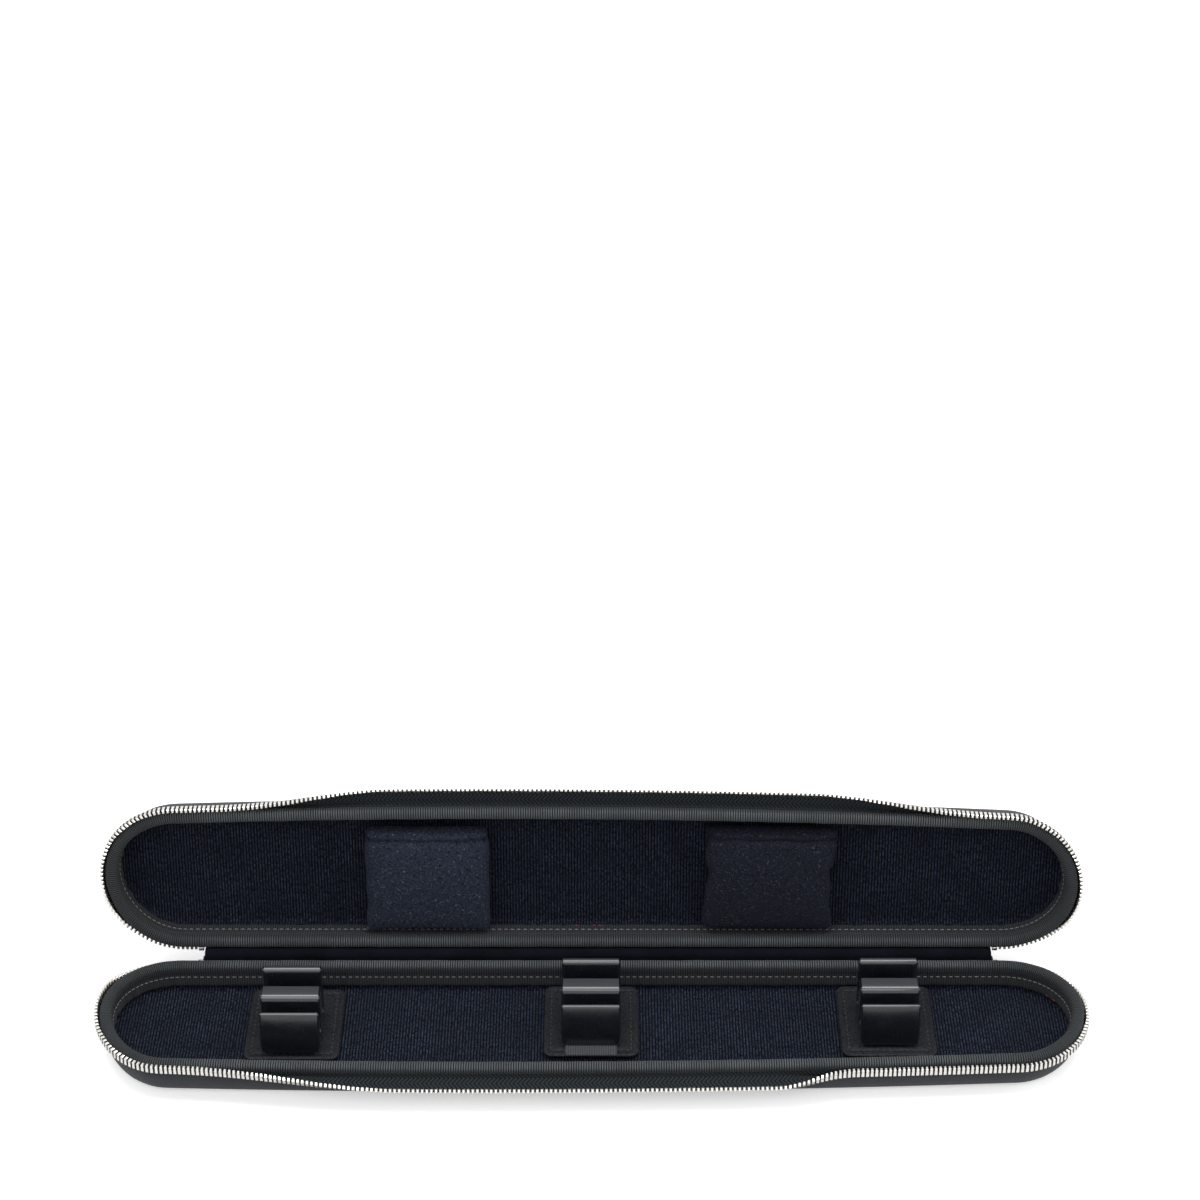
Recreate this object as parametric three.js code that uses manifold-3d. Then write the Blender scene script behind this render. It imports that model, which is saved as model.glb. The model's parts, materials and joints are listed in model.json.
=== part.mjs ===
// Zipped case for conductor's batons: a long tray and a lid with round ends,
// moulded foam shells bound with ribbed tape, joined along the back by a cloth hinge.
// Millimetres, +Z up, X along the case, the front edge towards -Y.
// The origin is on the flat underside of the tray, midway between the two end arcs.
import * as THREE from 'three';
import Module from 'manifold-3d';
import { mergeVertices } from 'three/addons/utils/BufferGeometryUtils.js';

const wasm = await Module();
wasm.setup();

// Fit between neighbouring pieces
const clearance = 0.3;

// Plan of the rim, measured over the binding tape
const caseLength = 463.4;
const endRadius = 35.6;
const frontBow = 3.9;

// The case narrows a little to the right: how far the front of the left end stands before
// that of the right end
const frontTaper = 3.6;

// The round ends lean a little: how far the middle of each is set back towards the hinge,
// at the left and at the right
const trayLean = [4.2, 2.3];
const lidLean = [-1.8, 2.5];

// Depths of the two mouldings, measured over the binding tape
const trayHeight = 22.5;
const lidHeight = 22.5;

// Moulded foam shells
const shellWall = 2.4;
const shellFloor = 3.5;
const lidCrown = 4.3;
const shellEdgeRadius = 10;
const trayInnerRadius = 4.5;
const wallDraft = 0.8;

// Velour linings and the board under the tray lining
const liningThickness = 0.8;
const liningFloorThickness = 1;
const liningCornerRadius = 1.6;
const boardThickness = 2.4;

// Binding tape rolled over each rim
const bindingThickness = 0.8;
const bindingRoll = 2.4;
const bindingFlank = 3.8;
const bindingFlap = 11.5;

// Cloth hinge and the lid's photographed opening
const rimGap = 3;
const lidOpening = THREE.MathUtils.degToRad(100.5);
const clothLength = 378;
const clothShift = 2.8;
const clothThickness = 0.95;
const clothRoot = 6.9;

// Zip: tape, tooth rail and stops
const tapeThickness = 0.9;
const tapeEndWidth = 3.4;
const trayTapeMiddleWidth = 6.2;
const lidTapeMiddleWidth = 7.4;
const tapeHingeDrop = 9.6;
const tapeMiddleDrop = 6;
const toothLength = 3.2;
const toothThickness = 2;
const tapeClothGap = 1;
const stopLength = 2.6;

// Sliders parked at both ends of the hinge, each with a pull hanging on a bridge
const sliderLength = 9;
const sliderWidth = 8;
const sliderThickness = 3;
const sliderChamfer = 1;
const sliderLevel = 15.5;
const sliderInset = 1.5;
const bridgeLength = 5.6;
const bridgeBar = 1.4;
const bridgeClear = 2;
const pullLength = 13.4;
const pullWidth = 5.4;
const pullTipWidth = 4;
const pullThickness = 1.4;
const pullEyeRadius = 1.5;

// Angles of the tape and its teeth above the outward direction, towards the other half
const endTapeAngle = THREE.MathUtils.degToRad(55);
const endToothAngle = THREE.MathUtils.degToRad(90);
const trayMiddleAngle = THREE.MathUtils.degToRad(-32);
const lidMiddleAngle = THREE.MathUtils.degToRad(0);
const trayMiddleToothAngle = THREE.MathUtils.degToRad(38);
const lidMiddleToothAngle = THREE.MathUtils.degToRad(53);

// Where the tape turns outwards along the front, to the left and to the right: shares of the
// way from mid-length to an end where the turn starts and where it is complete
const trayFlareShares = [[1, 0.42], [0.62, 0.42]];
const lidFlareShares = [[0.9, 0.48], [0.97, 0.52]];

// Depth of the tape below each rim round the ends, at the left and at the right
const trayTapeEndDrop = [5.7, 8.4];
const lidTapeEndDrop = [5.7, 5.7];

// Where the tape climbs from its low start beside the hinge to its place round the ends, as
// shares of the end radius measured back from the middle of the end
const climbShares = [0.95, 0.35];

// Baton holders: hook pad, leather patch, webbing strap and moulded clip
const patchWidth = 44.5;
const patchDepth = 48;
const patchCorner = 4;
const patchThickness = 1.5;
const hookMargin = 3;
const hookThickness = 1.3;
const strapWidth = 24;
const strapThickness = 1.2;
const clipWidth = 27.5;
const clipDepth = 29.5;
const clipEdge = 0.7;
const clipPlateCorner = 3.2;
const clipBase = 2.6;
const clipHeight = 28.8;
const clipMiddleHeight = 23.7;
const clipFrontHeight = 19.5;
const clipLean = 5;
const clipBladeThickness = 2.4;
const slotMouth = 4.6;
const slotSeatRadius = 3.2;
const clipHeadDepth = 9;
const clipHeadRadius = 3;
const clipBackRadius = 1.8;

// Where the holders sit, as shares of the way from mid-length to the middle of an end arc,
// how far one is moved forward, and how far each clip stands behind its patch's front edge
const leftHolderShare = -0.7165;
const middleHolderShare = -0.0025;
const rightHolderShare = 0.7101;
const leftHolderAdvance = 2.2;
const leftClipSetback = 1.7;
const middleClipSetback = 4.9;
const rightClipSetback = 5.2;
const strapShown = 6;
const strapHidden = 4;

// Terry cushions in the lid
const padHeight = 55.5;
const padThickness = 15.2;
const padCrown = 2.2;
const padEdgeShare = 0.86;
const padSidePull = 0.7;
const padSeamDrop = 5;
const padSeamDepth = 1.3;
const padSeamWidth = 1.6;
const padHookThickness = 1.2;
const padHookMargin = 12;
const padEdgePower = 6;

const leftPadWidth = 60.8;
const rightPadWidth = 63.5;
const leftPadShare = -0.4023;
const rightPadShare = 0.4315;

// The right cushion was put in a little askew
const rightPadTurn = THREE.MathUtils.degToRad(1.2);

// How finely the curves are divided
const endSteps = 14;
const frontSteps = 10;
const zipFrontSteps = 40;
const filletSteps = 4;
const rollSteps = 5;
const padSteps = 14;

// Places that follow from the sizes above
const hingeSetback = rimGap / 2;
const hingeY = endRadius + hingeSetback;
const hingeZ = trayHeight + hingeSetback;
const shellInset = bindingThickness + clearance;
const liningInset = shellInset + shellWall + clearance;
const flapInset = liningInset + liningThickness + clearance;
const boardLevel = shellFloor + clearance;
const trayLiningLevel = boardLevel + boardThickness + clearance;
const lidLiningLevel = lidCrown + clearance;
const liningOuterRadius = liningCornerRadius + liningFloorThickness;
const trayFloorTop = trayLiningLevel + liningFloorThickness;
const lidFloorTop = lidLiningLevel + liningFloorThickness;
const arcCentreX = caseLength / 2 - endRadius;
const bowCentreY = (arcCentreX ** 2 - frontBow ** 2) / (2 * frontBow);
const bowRadius = endRadius + Math.hypot(arcCentreX, bowCentreY);
const bowHalfAngle = Math.atan2(arcCentreX, bowCentreY);

const holderBack = endRadius - flapInset - bindingThickness - wallDraft - clearance;
const holders = [
  { name: 'left', x: leftHolderShare * arcCentreX, back: holderBack - leftHolderAdvance,
    clipSetback: leftClipSetback, strapLead: -strapHidden },
  { name: 'middle', x: middleHolderShare * arcCentreX, back: holderBack,
    clipSetback: middleClipSetback, strapLead: strapShown },
  { name: 'right', x: rightHolderShare * arcCentreX, back: holderBack,
    clipSetback: rightClipSetback, strapLead: -strapHidden },
];
const pads = [
  { name: 'left', x: leftPadShare * arcCentreX, width: leftPadWidth, turn: 0 },
  { name: 'right', x: rightPadShare * arcCentreX, width: rightPadWidth, turn: rightPadTurn },
];

// Finishes
function finish(color, roughness, metalness = 0) {
  return new THREE.MeshStandardMaterial({ color, roughness, metalness });
}
const finishes = {
  shell: finish(0x33343c, 0.85),
  board: finish(0x8a7a60, 0.9),
  lining: finish(0x141a2c, 0.95),
  binding: finish(0x3c4040, 0.8),
  zipTape: finish(0x202428, 0.85),
  zipMetal: finish(0xd8d6d0, 0.25, 1),
  slider: finish(0x1c1c1e, 0.35, 0.6),
  leather: finish(0x2c2f33, 0.55),
  hook: finish(0x15171b, 0.95),
  webbing: finish(0x3a3d40, 0.8),
  clip: finish(0x0c0d0f, 0.12),
  terry: finish(0x262a38, 1),
};

function mesh(name, geometry, material) {
  const piece = new THREE.Mesh(geometry, material);
  piece.name = name;
  return piece;
}

// Plan of the rim

// Stations along one round end, from the back to the front; side is 1 right, -1 left
function endStations(side, lean) {
  const sweep = Math.PI - bowHalfAngle;
  return Array.from({ length: endSteps + 1 }, (_, i) => {
    const turn = Math.PI / 2 - (sweep * i) / endSteps;
    return { centreX: side * arcCentreX, centreY: lean * Math.cos(turn) ** 2,
      radius: endRadius, nx: side * Math.cos(turn), ny: Math.sin(turn) };
  });
}

// Stations along the bowed front, from the right end to the left, without its two ends
function frontStations(steps) {
  return Array.from({ length: steps - 1 }, (_, i) => {
    const turn = bowHalfAngle * (1 - (2 * (i + 1)) / steps);
    return { centreX: 0, centreY: bowCentreY, radius: bowRadius,
      nx: Math.sin(turn), ny: -Math.cos(turn) };
  });
}

function roundFront(steps, [leftLean, rightLean]) {
  return [...endStations(1, rightLean), ...frontStations(steps),
    ...endStations(-1, leftLean).reverse()];
}

// A point beyond the rim's outer face by out, or within it where out is negative
function rimPoint(station, out, z) {
  const reach = station.radius + out;
  const x = station.centreX + station.nx * reach;
  return new THREE.Vector3(x, tapered(x, station.centreY + station.ny * reach), z);
}

// The taper leaves the straight back where it is and moves the front the most
function tapered(x, y) {
  const frontShift = (frontTaper / 2) * (x / arcCentreX);
  return y + (frontShift * (endRadius - y)) / (2 * endRadius);
}

function rimRing(half, inset, z) {
  return roundFront(frontSteps, half.lean).map((station) => rimPoint(station, -inset, z));
}

// Solids joined from rings of points

function capTriangles(ring) {
  const normal = new THREE.Vector3();
  ring.forEach((p, i) => {
    const q = ring[(i + 1) % ring.length];
    normal.x += (p.y - q.y) * (p.z + q.z);
    normal.y += (p.z - q.z) * (p.x + q.x);
    normal.z += (p.x - q.x) * (p.y + q.y);
  });
  const flat = new THREE.Quaternion().setFromUnitVectors(normal.normalize(), new THREE.Vector3(0, 0, 1));
  const outline = ring.map((p) => p.clone().applyQuaternion(flat)).map((p) => new THREE.Vector2(p.x, p.y));
  return THREE.ShapeUtils.triangulateShape(outline, []);
}

function signedVolume(points, faces) {
  return faces.reduce((sum, [a, b, c]) => sum
    + points[a].dot(new THREE.Vector3().crossVectors(points[b], points[c])) / 6, 0);
}

// Rings are joined in order; a looped solid joins its last ring to its first, and any
// other one is capped at both ends
function solidFromRings(rings, looped = false) {
  const count = rings[0].length;
  const points = rings.flat();
  const faces = [];
  const bands = looped ? rings.length : rings.length - 1;
  for (let band = 0; band < bands; band += 1) {
    const next = (band + 1) % rings.length;
    for (let i = 0; i < count; i += 1) {
      const j = (i + 1) % count;
      const [a, b] = [band * count + i, band * count + j];
      const [c, d] = [next * count + j, next * count + i];
      faces.push([a, b, c], [a, c, d]);
    }
  }
  if (!looped) {
    const last = (rings.length - 1) * count;
    capTriangles(rings[0]).forEach(([a, b, c]) => faces.push([a, c, b]));
    capTriangles(rings.at(-1)).forEach(([a, b, c]) => faces.push([last + a, last + b, last + c]));
  }
  if (signedVolume(points, faces) < 0) faces.forEach((face) => face.reverse());
  const geometry = new THREE.BufferGeometry().setFromPoints(points);
  geometry.setIndex(faces.flat());
  geometry.computeVertexNormals();
  return geometry;
}

// Mouldings: profiles of inset and height above the outside of the closed face

// A quarter round from a floor up to a wall
function fillet(inset, height, radius) {
  return Array.from({ length: filletSteps + 1 }, (_, i) => {
    const turn = (Math.PI / 2) * (i / filletSteps);
    return [inset + radius * (1 - Math.sin(turn)), height + radius * (1 - Math.cos(turn))];
  });
}

// A dished moulding with a floor, a drafted wall and round edges inside and out
function dish({ inset, wall, level, floor, outerRadius, innerRadius, top }) {
  const outer = fillet(inset + wallDraft, level, outerRadius);
  const inner = fillet(inset + wall + wallDraft, level + floor, innerRadius).reverse();
  return [...outer, [inset, top], [inset + wall, top], ...inner];
}

function shellProfile(half) {
  return dish({ inset: shellInset, wall: shellWall, level: 0, floor: half.floor,
    top: half.height - bindingRoll, outerRadius: shellEdgeRadius, innerRadius: half.innerRadius });
}

function liningProfile(half) {
  return dish({ inset: liningInset, wall: liningThickness, level: half.liningLevel,
    floor: liningFloorThickness, top: half.height - bindingRoll,
    outerRadius: liningOuterRadius, innerRadius: liningCornerRadius });
}

// The binding: a round roll over the rim, a short outer flank and a long inner flap
function bindingProfile({ height }) {
  const width = flapInset + bindingThickness;
  const shoulder = height - bindingRoll;
  const roll = Array.from({ length: rollSteps + 1 }, (_, i) => {
    const turn = Math.PI * (1 - i / rollSteps);
    return [(width / 2) * (1 + Math.cos(turn)), shoulder + bindingRoll * Math.sin(turn)];
  });
  return [[0, height - bindingFlank], ...roll,
    [width + wallDraft, height - bindingFlap], [flapInset + wallDraft, height - bindingFlap],
    [flapInset, shoulder + clearance], [bindingThickness, shoulder + clearance],
    [bindingThickness, height - bindingFlank]];
}

// Strips that follow the rim from the left of the cloth hinge round the front

// Stations from the right end of the zip to its left end; lead is how far each end stops
// short of the cloth hinge
function zipStations(half, lead) {
  return [zipEnd(1, lead), ...roundFront(zipFrontSteps, half.lean).map((station) => ({
    ...station, share: middleShare(station, half.flareShares), climb: climbShare(station),
  })), zipEnd(-1, lead)];
}

function zipEnd(side, lead) {
  return { centreX: clothShift + side * (clothLength / 2 + lead), centreY: 0,
    radius: endRadius, nx: 0, ny: 1, share: 0, climb: 0 };
}

// 0 beside the hinge, rising smoothly to 1 round the end
function climbShare(station) {
  const [startShare, fullShare] = climbShares;
  return THREE.MathUtils.smoothstep((startShare - station.ny) / (startShare - fullShare), 0, 1);
}

// 0 round the ends, rising smoothly to 1 along the middle of the front
function middleShare(station, [leftShares, rightShares]) {
  if (station.centreX !== 0) return 0;
  const [startShare, fullShare] = station.nx < 0 ? leftShares : rightShares;
  const along = Math.abs(station.nx) / Math.sin(bowHalfAngle);
  return THREE.MathUtils.smoothstep((startShare - along) / (startShare - fullShare), 0, 1);
}

// Where the tape leaves the wall, turns and ends, in outward and upward distances
function zipSection(half, { nx, share, climb }) {
  const mix = (a, b) => THREE.MathUtils.lerp(a, b, share);
  const tapeAngle = mix(endTapeAngle, half.middleAngle);
  const toothAngle = mix(endToothAngle, half.middleToothAngle);
  const fullDrop = half.tapeEndDrop[nx < 0 ? 0 : 1];
  const endDrop = THREE.MathUtils.lerp(tapeHingeDrop, fullDrop, climb);
  const root = new THREE.Vector2(tapeThickness / 2 - shellInset + clearance,
    half.height - mix(endDrop, tapeMiddleDrop));
  const along = new THREE.Vector2(Math.cos(tapeAngle), Math.sin(tapeAngle));
  const tip = root.clone().addScaledVector(along, mix(tapeEndWidth, half.tapeMiddleWidth));
  const toothAlong = new THREE.Vector2(Math.cos(toothAngle), Math.sin(toothAngle));
  return { root, tip, along, toothAlong };
}

function stripSection(from, along, length, thickness) {
  const side = new THREE.Vector2(-along.y, along.x).multiplyScalar(thickness / 2);
  const to = from.clone().addScaledVector(along, length);
  return [from.clone().sub(side), to.clone().sub(side), to.clone().add(side), from.clone().add(side)];
}

function tapeSection({ root, tip, along }) {
  return stripSection(root, along, root.distanceTo(tip), tapeThickness);
}

// The teeth stand clear of the tape by the clearance, turned about their own foot
function toothSection({ tip, toothAlong }) {
  const foot = tip.clone().addScaledVector(toothAlong, clearance + tapeThickness / 2);
  return stripSection(foot, toothAlong, toothLength, toothThickness);
}

// The two halves: levels in a profile are heights above the outside of the closed face

const tray = { height: trayHeight, floor: shellFloor, liningLevel: trayLiningLevel,
  innerRadius: trayInnerRadius, middleAngle: trayMiddleAngle,
  middleToothAngle: trayMiddleToothAngle, flareShares: trayFlareShares, lean: trayLean,
  tapeEndDrop: trayTapeEndDrop, tapeMiddleWidth: trayTapeMiddleWidth,
  level: (h) => h, shiftY: 0 };
const lid = { height: lidHeight, floor: lidCrown, liningLevel: lidLiningLevel,
  innerRadius: liningOuterRadius, middleAngle: lidMiddleAngle,
  middleToothAngle: lidMiddleToothAngle, flareShares: lidFlareShares, lean: lidLean,
  tapeEndDrop: lidTapeEndDrop, tapeMiddleWidth: lidTapeMiddleWidth,
  level: (h) => hingeSetback + lidHeight - h, shiftY: -hingeY };

function place(half, point) {
  return new THREE.Vector3(point.x, point.y + half.shiftY, half.level(point.z));
}

function moulding(half, profile, looped = false) {
  const rings = profile.map(([inset, h]) => rimRing(half, inset, h).map((p) => place(half, p)));
  return solidFromRings(rings, looped);
}

function sweepSections(half, stations, sectionOf) {
  const rings = stations.map((station) => sectionOf(station)
    .map((p) => place(half, rimPoint(station, p.x, p.y))));
  return solidFromRings(rings);
}

function zipStrip(half, section, lead) {
  return sweepSections(half, zipStations(half, lead),
    (station) => section(zipSection(half, station)));
}

// A stop is a short block in line with the tooth rail, at one end of it
function zipStop(half, side) {
  const stations = [tapeClothGap, tapeClothGap + stopLength].map((lead) => zipEnd(side, lead));
  return sweepSections(half, stations, (station) => toothSection(zipSection(half, station)));
}

// Half of the cloth hinge: up the outside of the back wall, past the binding, to the axis
function hingeCloth(half) {
  const rootFace = clearance - shellInset;
  const passFace = clearance;
  const jog = passFace - rootFace;
  const shoulder = half.height - bindingFlank;
  const mitre = clothThickness * Math.tan(Math.PI / 8);
  const top = half.height + hingeSetback - clearance;
  const foot = shoulder - jog - clothRoot;
  const section = [
    [rootFace, foot], [rootFace, shoulder - jog], [passFace, shoulder], [passFace, top],
    [passFace + clothThickness, top], [passFace + clothThickness, shoulder - mitre],
    [rootFace + clothThickness, shoulder - jog - mitre], [rootFace + clothThickness, foot],
  ].map(([out, h]) => new THREE.Vector2(out, h));
  return sweepSections(half, [zipEnd(1, 0), zipEnd(-1, 0)], () => section);
}

function halfPieces(prefix, half) {
  const railLead = tapeClothGap + stopLength + clearance;
  return [
    mesh(`${prefix}_shell`, moulding(half, shellProfile(half)), finishes.shell),
    mesh(`${prefix}_lining`, moulding(half, liningProfile(half)), finishes.lining),
    mesh(`${prefix}_binding`, moulding(half, bindingProfile(half), true), finishes.binding),
    mesh(`${prefix}_zip_tape`, zipStrip(half, tapeSection, tapeClothGap), finishes.zipTape),
    mesh(`${prefix}_zip_teeth`, zipStrip(half, toothSection, railLead), finishes.zipMetal),
    mesh(`${prefix}_zip_stop_left`, zipStop(half, -1), finishes.zipMetal),
    mesh(`${prefix}_zip_stop_right`, zipStop(half, 1), finishes.zipMetal),
    mesh(`${prefix}_hinge_cloth`, hingeCloth(half), finishes.lining),
  ];
}

// The stiffening board, clear of the round inner edge of the shell
function baseBoard() {
  const inset = shellInset + shellWall + wallDraft + trayInnerRadius + clearance;
  return moulding(tray, [[inset, boardLevel], [inset, boardLevel + boardThickness]]);
}

// Baton holders

function roundedRectangle(width, depth, radius) {
  const [x, y] = [width / 2, depth / 2];
  const shape = new THREE.Shape();
  shape.moveTo(radius - x, -y);
  shape.lineTo(x - radius, -y);
  shape.absarc(x - radius, radius - y, radius, -Math.PI / 2, 0);
  shape.lineTo(x, y - radius);
  shape.absarc(x - radius, y - radius, radius, 0, Math.PI / 2);
  shape.lineTo(radius - x, y);
  shape.absarc(radius - x, y - radius, radius, Math.PI / 2, Math.PI);
  shape.lineTo(-x, radius - y);
  shape.absarc(radius - x, radius - y, radius, Math.PI, 1.5 * Math.PI);
  return shape;
}

function slab(width, depth, radius, thickness) {
  const options = { depth: thickness, bevelEnabled: false, curveSegments: filletSteps };
  return new THREE.ExtrudeGeometry(roundedRectangle(width, depth, radius), options);
}

// Side view of the clip, front edge at 0, foot at 0: a front plate, a middle post with a
// flat head and a tall back post, with a round seat for a baton shaft under each mouth
function clipProfile() {
  const frontMouth = clipLean + clipBladeThickness;
  const middleFront = frontMouth + slotMouth;
  const middleBack = middleFront + clipHeadDepth;
  const backFront = middleBack + slotMouth;
  const seatLevel = clipBase + slotSeatRadius;
  const b = clipBackRadius;
  const r = clipHeadRadius;
  const shape = new THREE.Shape();
  shape.moveTo(0, 0);
  shape.lineTo(clipDepth, 0);
  shape.lineTo(clipDepth, clipHeight - b);
  shape.absarc(clipDepth - b, clipHeight - b, b, 0, Math.PI / 2);
  shape.lineTo(backFront + b, clipHeight);
  shape.absarc(backFront + b, clipHeight - b, b, Math.PI / 2, Math.PI);
  shape.lineTo(backFront, clipMiddleHeight - slotMouth);
  slotSeat(shape, middleBack + slotMouth / 2, seatLevel);
  shape.lineTo(middleBack, clipMiddleHeight - r / 2);
  shape.absarc(middleBack - r / 2, clipMiddleHeight - r / 2, r / 2, 0, Math.PI / 2);
  shape.lineTo(middleFront + r, clipMiddleHeight);
  shape.absarc(middleFront + r, clipMiddleHeight - r, r, Math.PI / 2, Math.PI);
  shape.lineTo(middleFront, clipFrontHeight - slotMouth);
  slotSeat(shape, frontMouth + slotMouth / 2, seatLevel);
  shape.lineTo(frontMouth, clipFrontHeight - slotMouth);
  shape.lineTo(frontMouth, clipFrontHeight - clipBladeThickness / 2);
  shape.absarc(frontMouth - clipBladeThickness / 2, clipFrontHeight - clipBladeThickness / 2,
    clipBladeThickness / 2, 0, Math.PI);
  return shape;
}

// The round seat at the bottom of a slot, from its back side round to its front side
function slotSeat(shape, y, z) {
  const halfOpen = Math.asin(slotMouth / 2 / slotSeatRadius);
  shape.absarc(y, z, slotSeatRadius, Math.PI / 2 - halfOpen, Math.PI / 2 + halfOpen, true);
}

function toManifold(geometry) {
  const bare = geometry.clone();
  bare.deleteAttribute('normal');
  bare.deleteAttribute('uv');
  const merged = mergeVertices(bare);
  return new wasm.Manifold(new wasm.Mesh({ numProp: 3,
    vertProperties: new Float32Array(merged.attributes.position.array),
    triVerts: new Uint32Array(merged.index.array) }));
}

function fromManifold(solid) {
  const { vertProperties, triVerts } = solid.getMesh();
  const geometry = new THREE.BufferGeometry();
  geometry.setAttribute('position', new THREE.BufferAttribute(vertProperties, 3));
  geometry.setIndex(new THREE.BufferAttribute(triVerts, 1));
  geometry.computeVertexNormals();
  return geometry;
}

// The clip is the side view drawn out to its width, trimmed to round lower corners in front view
function clipBody() {
  const options = { depth: clipWidth - 2 * clipEdge, curveSegments: filletSteps,
    bevelThickness: clipEdge, bevelSize: clipEdge, bevelOffset: -clipEdge, bevelSegments: 1 };
  const drawn = new THREE.ExtrudeGeometry(clipProfile(), options);
  const alongX = new THREE.Matrix4().makeBasis(new THREE.Vector3(0, 1, 0),
    new THREE.Vector3(0, 0, 1), new THREE.Vector3(1, 0, 0));
  drawn.applyMatrix4(alongX);
  drawn.translate(clipEdge - clipWidth / 2, 0, 0);
  const frontView = slab(clipWidth, clipHeight + clipPlateCorner, clipPlateCorner,
    clipDepth + 2 * clipEdge);
  frontView.rotateX(Math.PI / 2);
  frontView.translate(0, clipDepth + clipEdge, (clipHeight + clipPlateCorner) / 2);
  return fromManifold(toManifold(drawn).intersect(toManifold(frontView)));
}

function holderGroup({ name, x, back, clipSetback, strapLead }) {
  const group = new THREE.Group();
  const hookLevel = trayFloorTop + clearance;
  const patchLevel = hookLevel + hookThickness + clearance;
  const strapLevel = patchLevel + patchThickness + clearance;
  const clipLevel = strapLevel + strapThickness + clearance;
  const patchY = back - patchDepth / 2;
  const clipFront = back - patchDepth + clipSetback;
  const strapDepth = clipDepth + strapLead;
  const hook = mesh(`holder_hook_${name}`, slab(patchWidth - 2 * hookMargin,
    patchDepth - 2 * hookMargin, patchCorner / 2, hookThickness), finishes.hook);
  const patch = mesh(`holder_patch_${name}`, slab(patchWidth, patchDepth, patchCorner,
    patchThickness), finishes.leather);
  const strap = mesh(`holder_strap_${name}`, slab(strapWidth, strapDepth, strapThickness,
    strapThickness), finishes.webbing);
  const clip = mesh(`holder_clip_${name}`, clipBody(), finishes.clip);
  hook.position.set(0, patchY, hookLevel);
  patch.position.set(0, patchY, patchLevel);
  strap.position.set(0, clipFront - strapLead + strapDepth / 2, strapLevel);
  clip.position.set(0, clipFront, clipLevel);
  group.add(hook, patch, strap, clip);
  group.position.x = x;
  return group;
}

// Terry cushions, in the lid's own directions: flat on the hook pad, crowned in front

function padGeometry(width) {
  const side = (t) => Math.sin((t * Math.PI) / 2);
  const row = (front) => Array.from({ length: padSteps + 1 }, (_, j) =>
    Array.from({ length: padSteps + 1 }, (_, i) => {
      const [u, v] = [side((2 * i) / padSteps - 1), side((2 * j) / padSteps - 1)];
      return padPoint(width, u, v, front);
    }));
  const [back, front] = [row(0), row(1)];
  const walk = (grid) => [
    ...Array.from({ length: padSteps }, (_, i) => grid[0][i]),
    ...Array.from({ length: padSteps }, (_, j) => grid[j][padSteps]),
    ...Array.from({ length: padSteps }, (_, i) => grid[padSteps][padSteps - i]),
    ...Array.from({ length: padSteps }, (_, j) => grid[padSteps - j][0]),
  ];
  return padSolid(back, front, walk);
}

// Across is u, from the hinge side to the front is v, front is 0 on the back face
function padPoint(width, u, v, front) {
  const draw = 1 - (2 * padSidePull * (1 - v * v) * u * u) / width;
  const x = (width / 2) * u * draw;
  const y = (padHeight / 2) * v * (1 - (2 * padSidePull * (1 - u * u) * v * v) / padHeight);
  const edge = (1 - u ** padEdgePower) * (1 - v ** padEdgePower);
  const full = padThickness - padCrown + padCrown * (1 - u * u) * (1 - v * v);
  const seamLine = y - (padHeight / 2 - padSeamDrop);
  const seam = padSeamDepth * Math.exp(-((seamLine / padSeamWidth) ** 2));
  const rise = front ? THREE.MathUtils.lerp(padThickness * padEdgeShare, full - seam, edge) : 0;
  return new THREE.Vector3(x, y, rise);
}

function padSolid(back, front, walk) {
  const points = [];
  const faces = [];
  const key = new Map();
  const index = (point) => {
    if (!key.has(point)) {
      key.set(point, points.length);
      points.push(point);
    }
    return key.get(point);
  };
  const quad = (a, b, c, d) => {
    const [i, j, k, l] = [a, b, c, d].map(index);
    faces.push([i, j, k], [i, k, l]);
  };
  for (let j = 0; j < padSteps; j += 1) {
    for (let i = 0; i < padSteps; i += 1) {
      quad(front[j][i], front[j][i + 1], front[j + 1][i + 1], front[j + 1][i]);
      quad(back[j + 1][i], back[j + 1][i + 1], back[j][i + 1], back[j][i]);
    }
  }
  const [low, high] = [walk(back), walk(front)];
  low.forEach((point, i) => {
    const next = (i + 1) % low.length;
    quad(point, low[next], high[next], high[i]);
  });
  if (signedVolume(points, faces) < 0) faces.forEach((face) => face.reverse());
  const geometry = new THREE.BufferGeometry().setFromPoints(points);
  geometry.setIndex(faces.flat());
  geometry.computeVertexNormals();
  return geometry;
}

function padGroup({ name, x, width, turn }) {
  const group = new THREE.Group();
  const hookLevel = lid.level(lidFloorTop + clearance) - padHookThickness;
  const hingeEdge = hingeSetback + flapInset + bindingThickness + wallDraft + clearance;
  const hook = mesh(`pad_hook_${name}`, slab(width - 2 * padHookMargin,
    padHeight - 2 * padHookMargin, patchCorner / 2, padHookThickness), finishes.hook);
  const pad = mesh(`lid_pad_${name}`, padGeometry(width), finishes.terry);
  hook.position.z = hookLevel;
  pad.rotation.x = Math.PI;
  pad.position.z = hookLevel - clearance;
  group.add(hook, pad);
  group.position.set(x, -hingeEdge - padHeight / 2 - (width / 2) * Math.sin(turn), 0);
  group.rotation.z = turn;
  return group;
}

// Sliders and pulls

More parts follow.
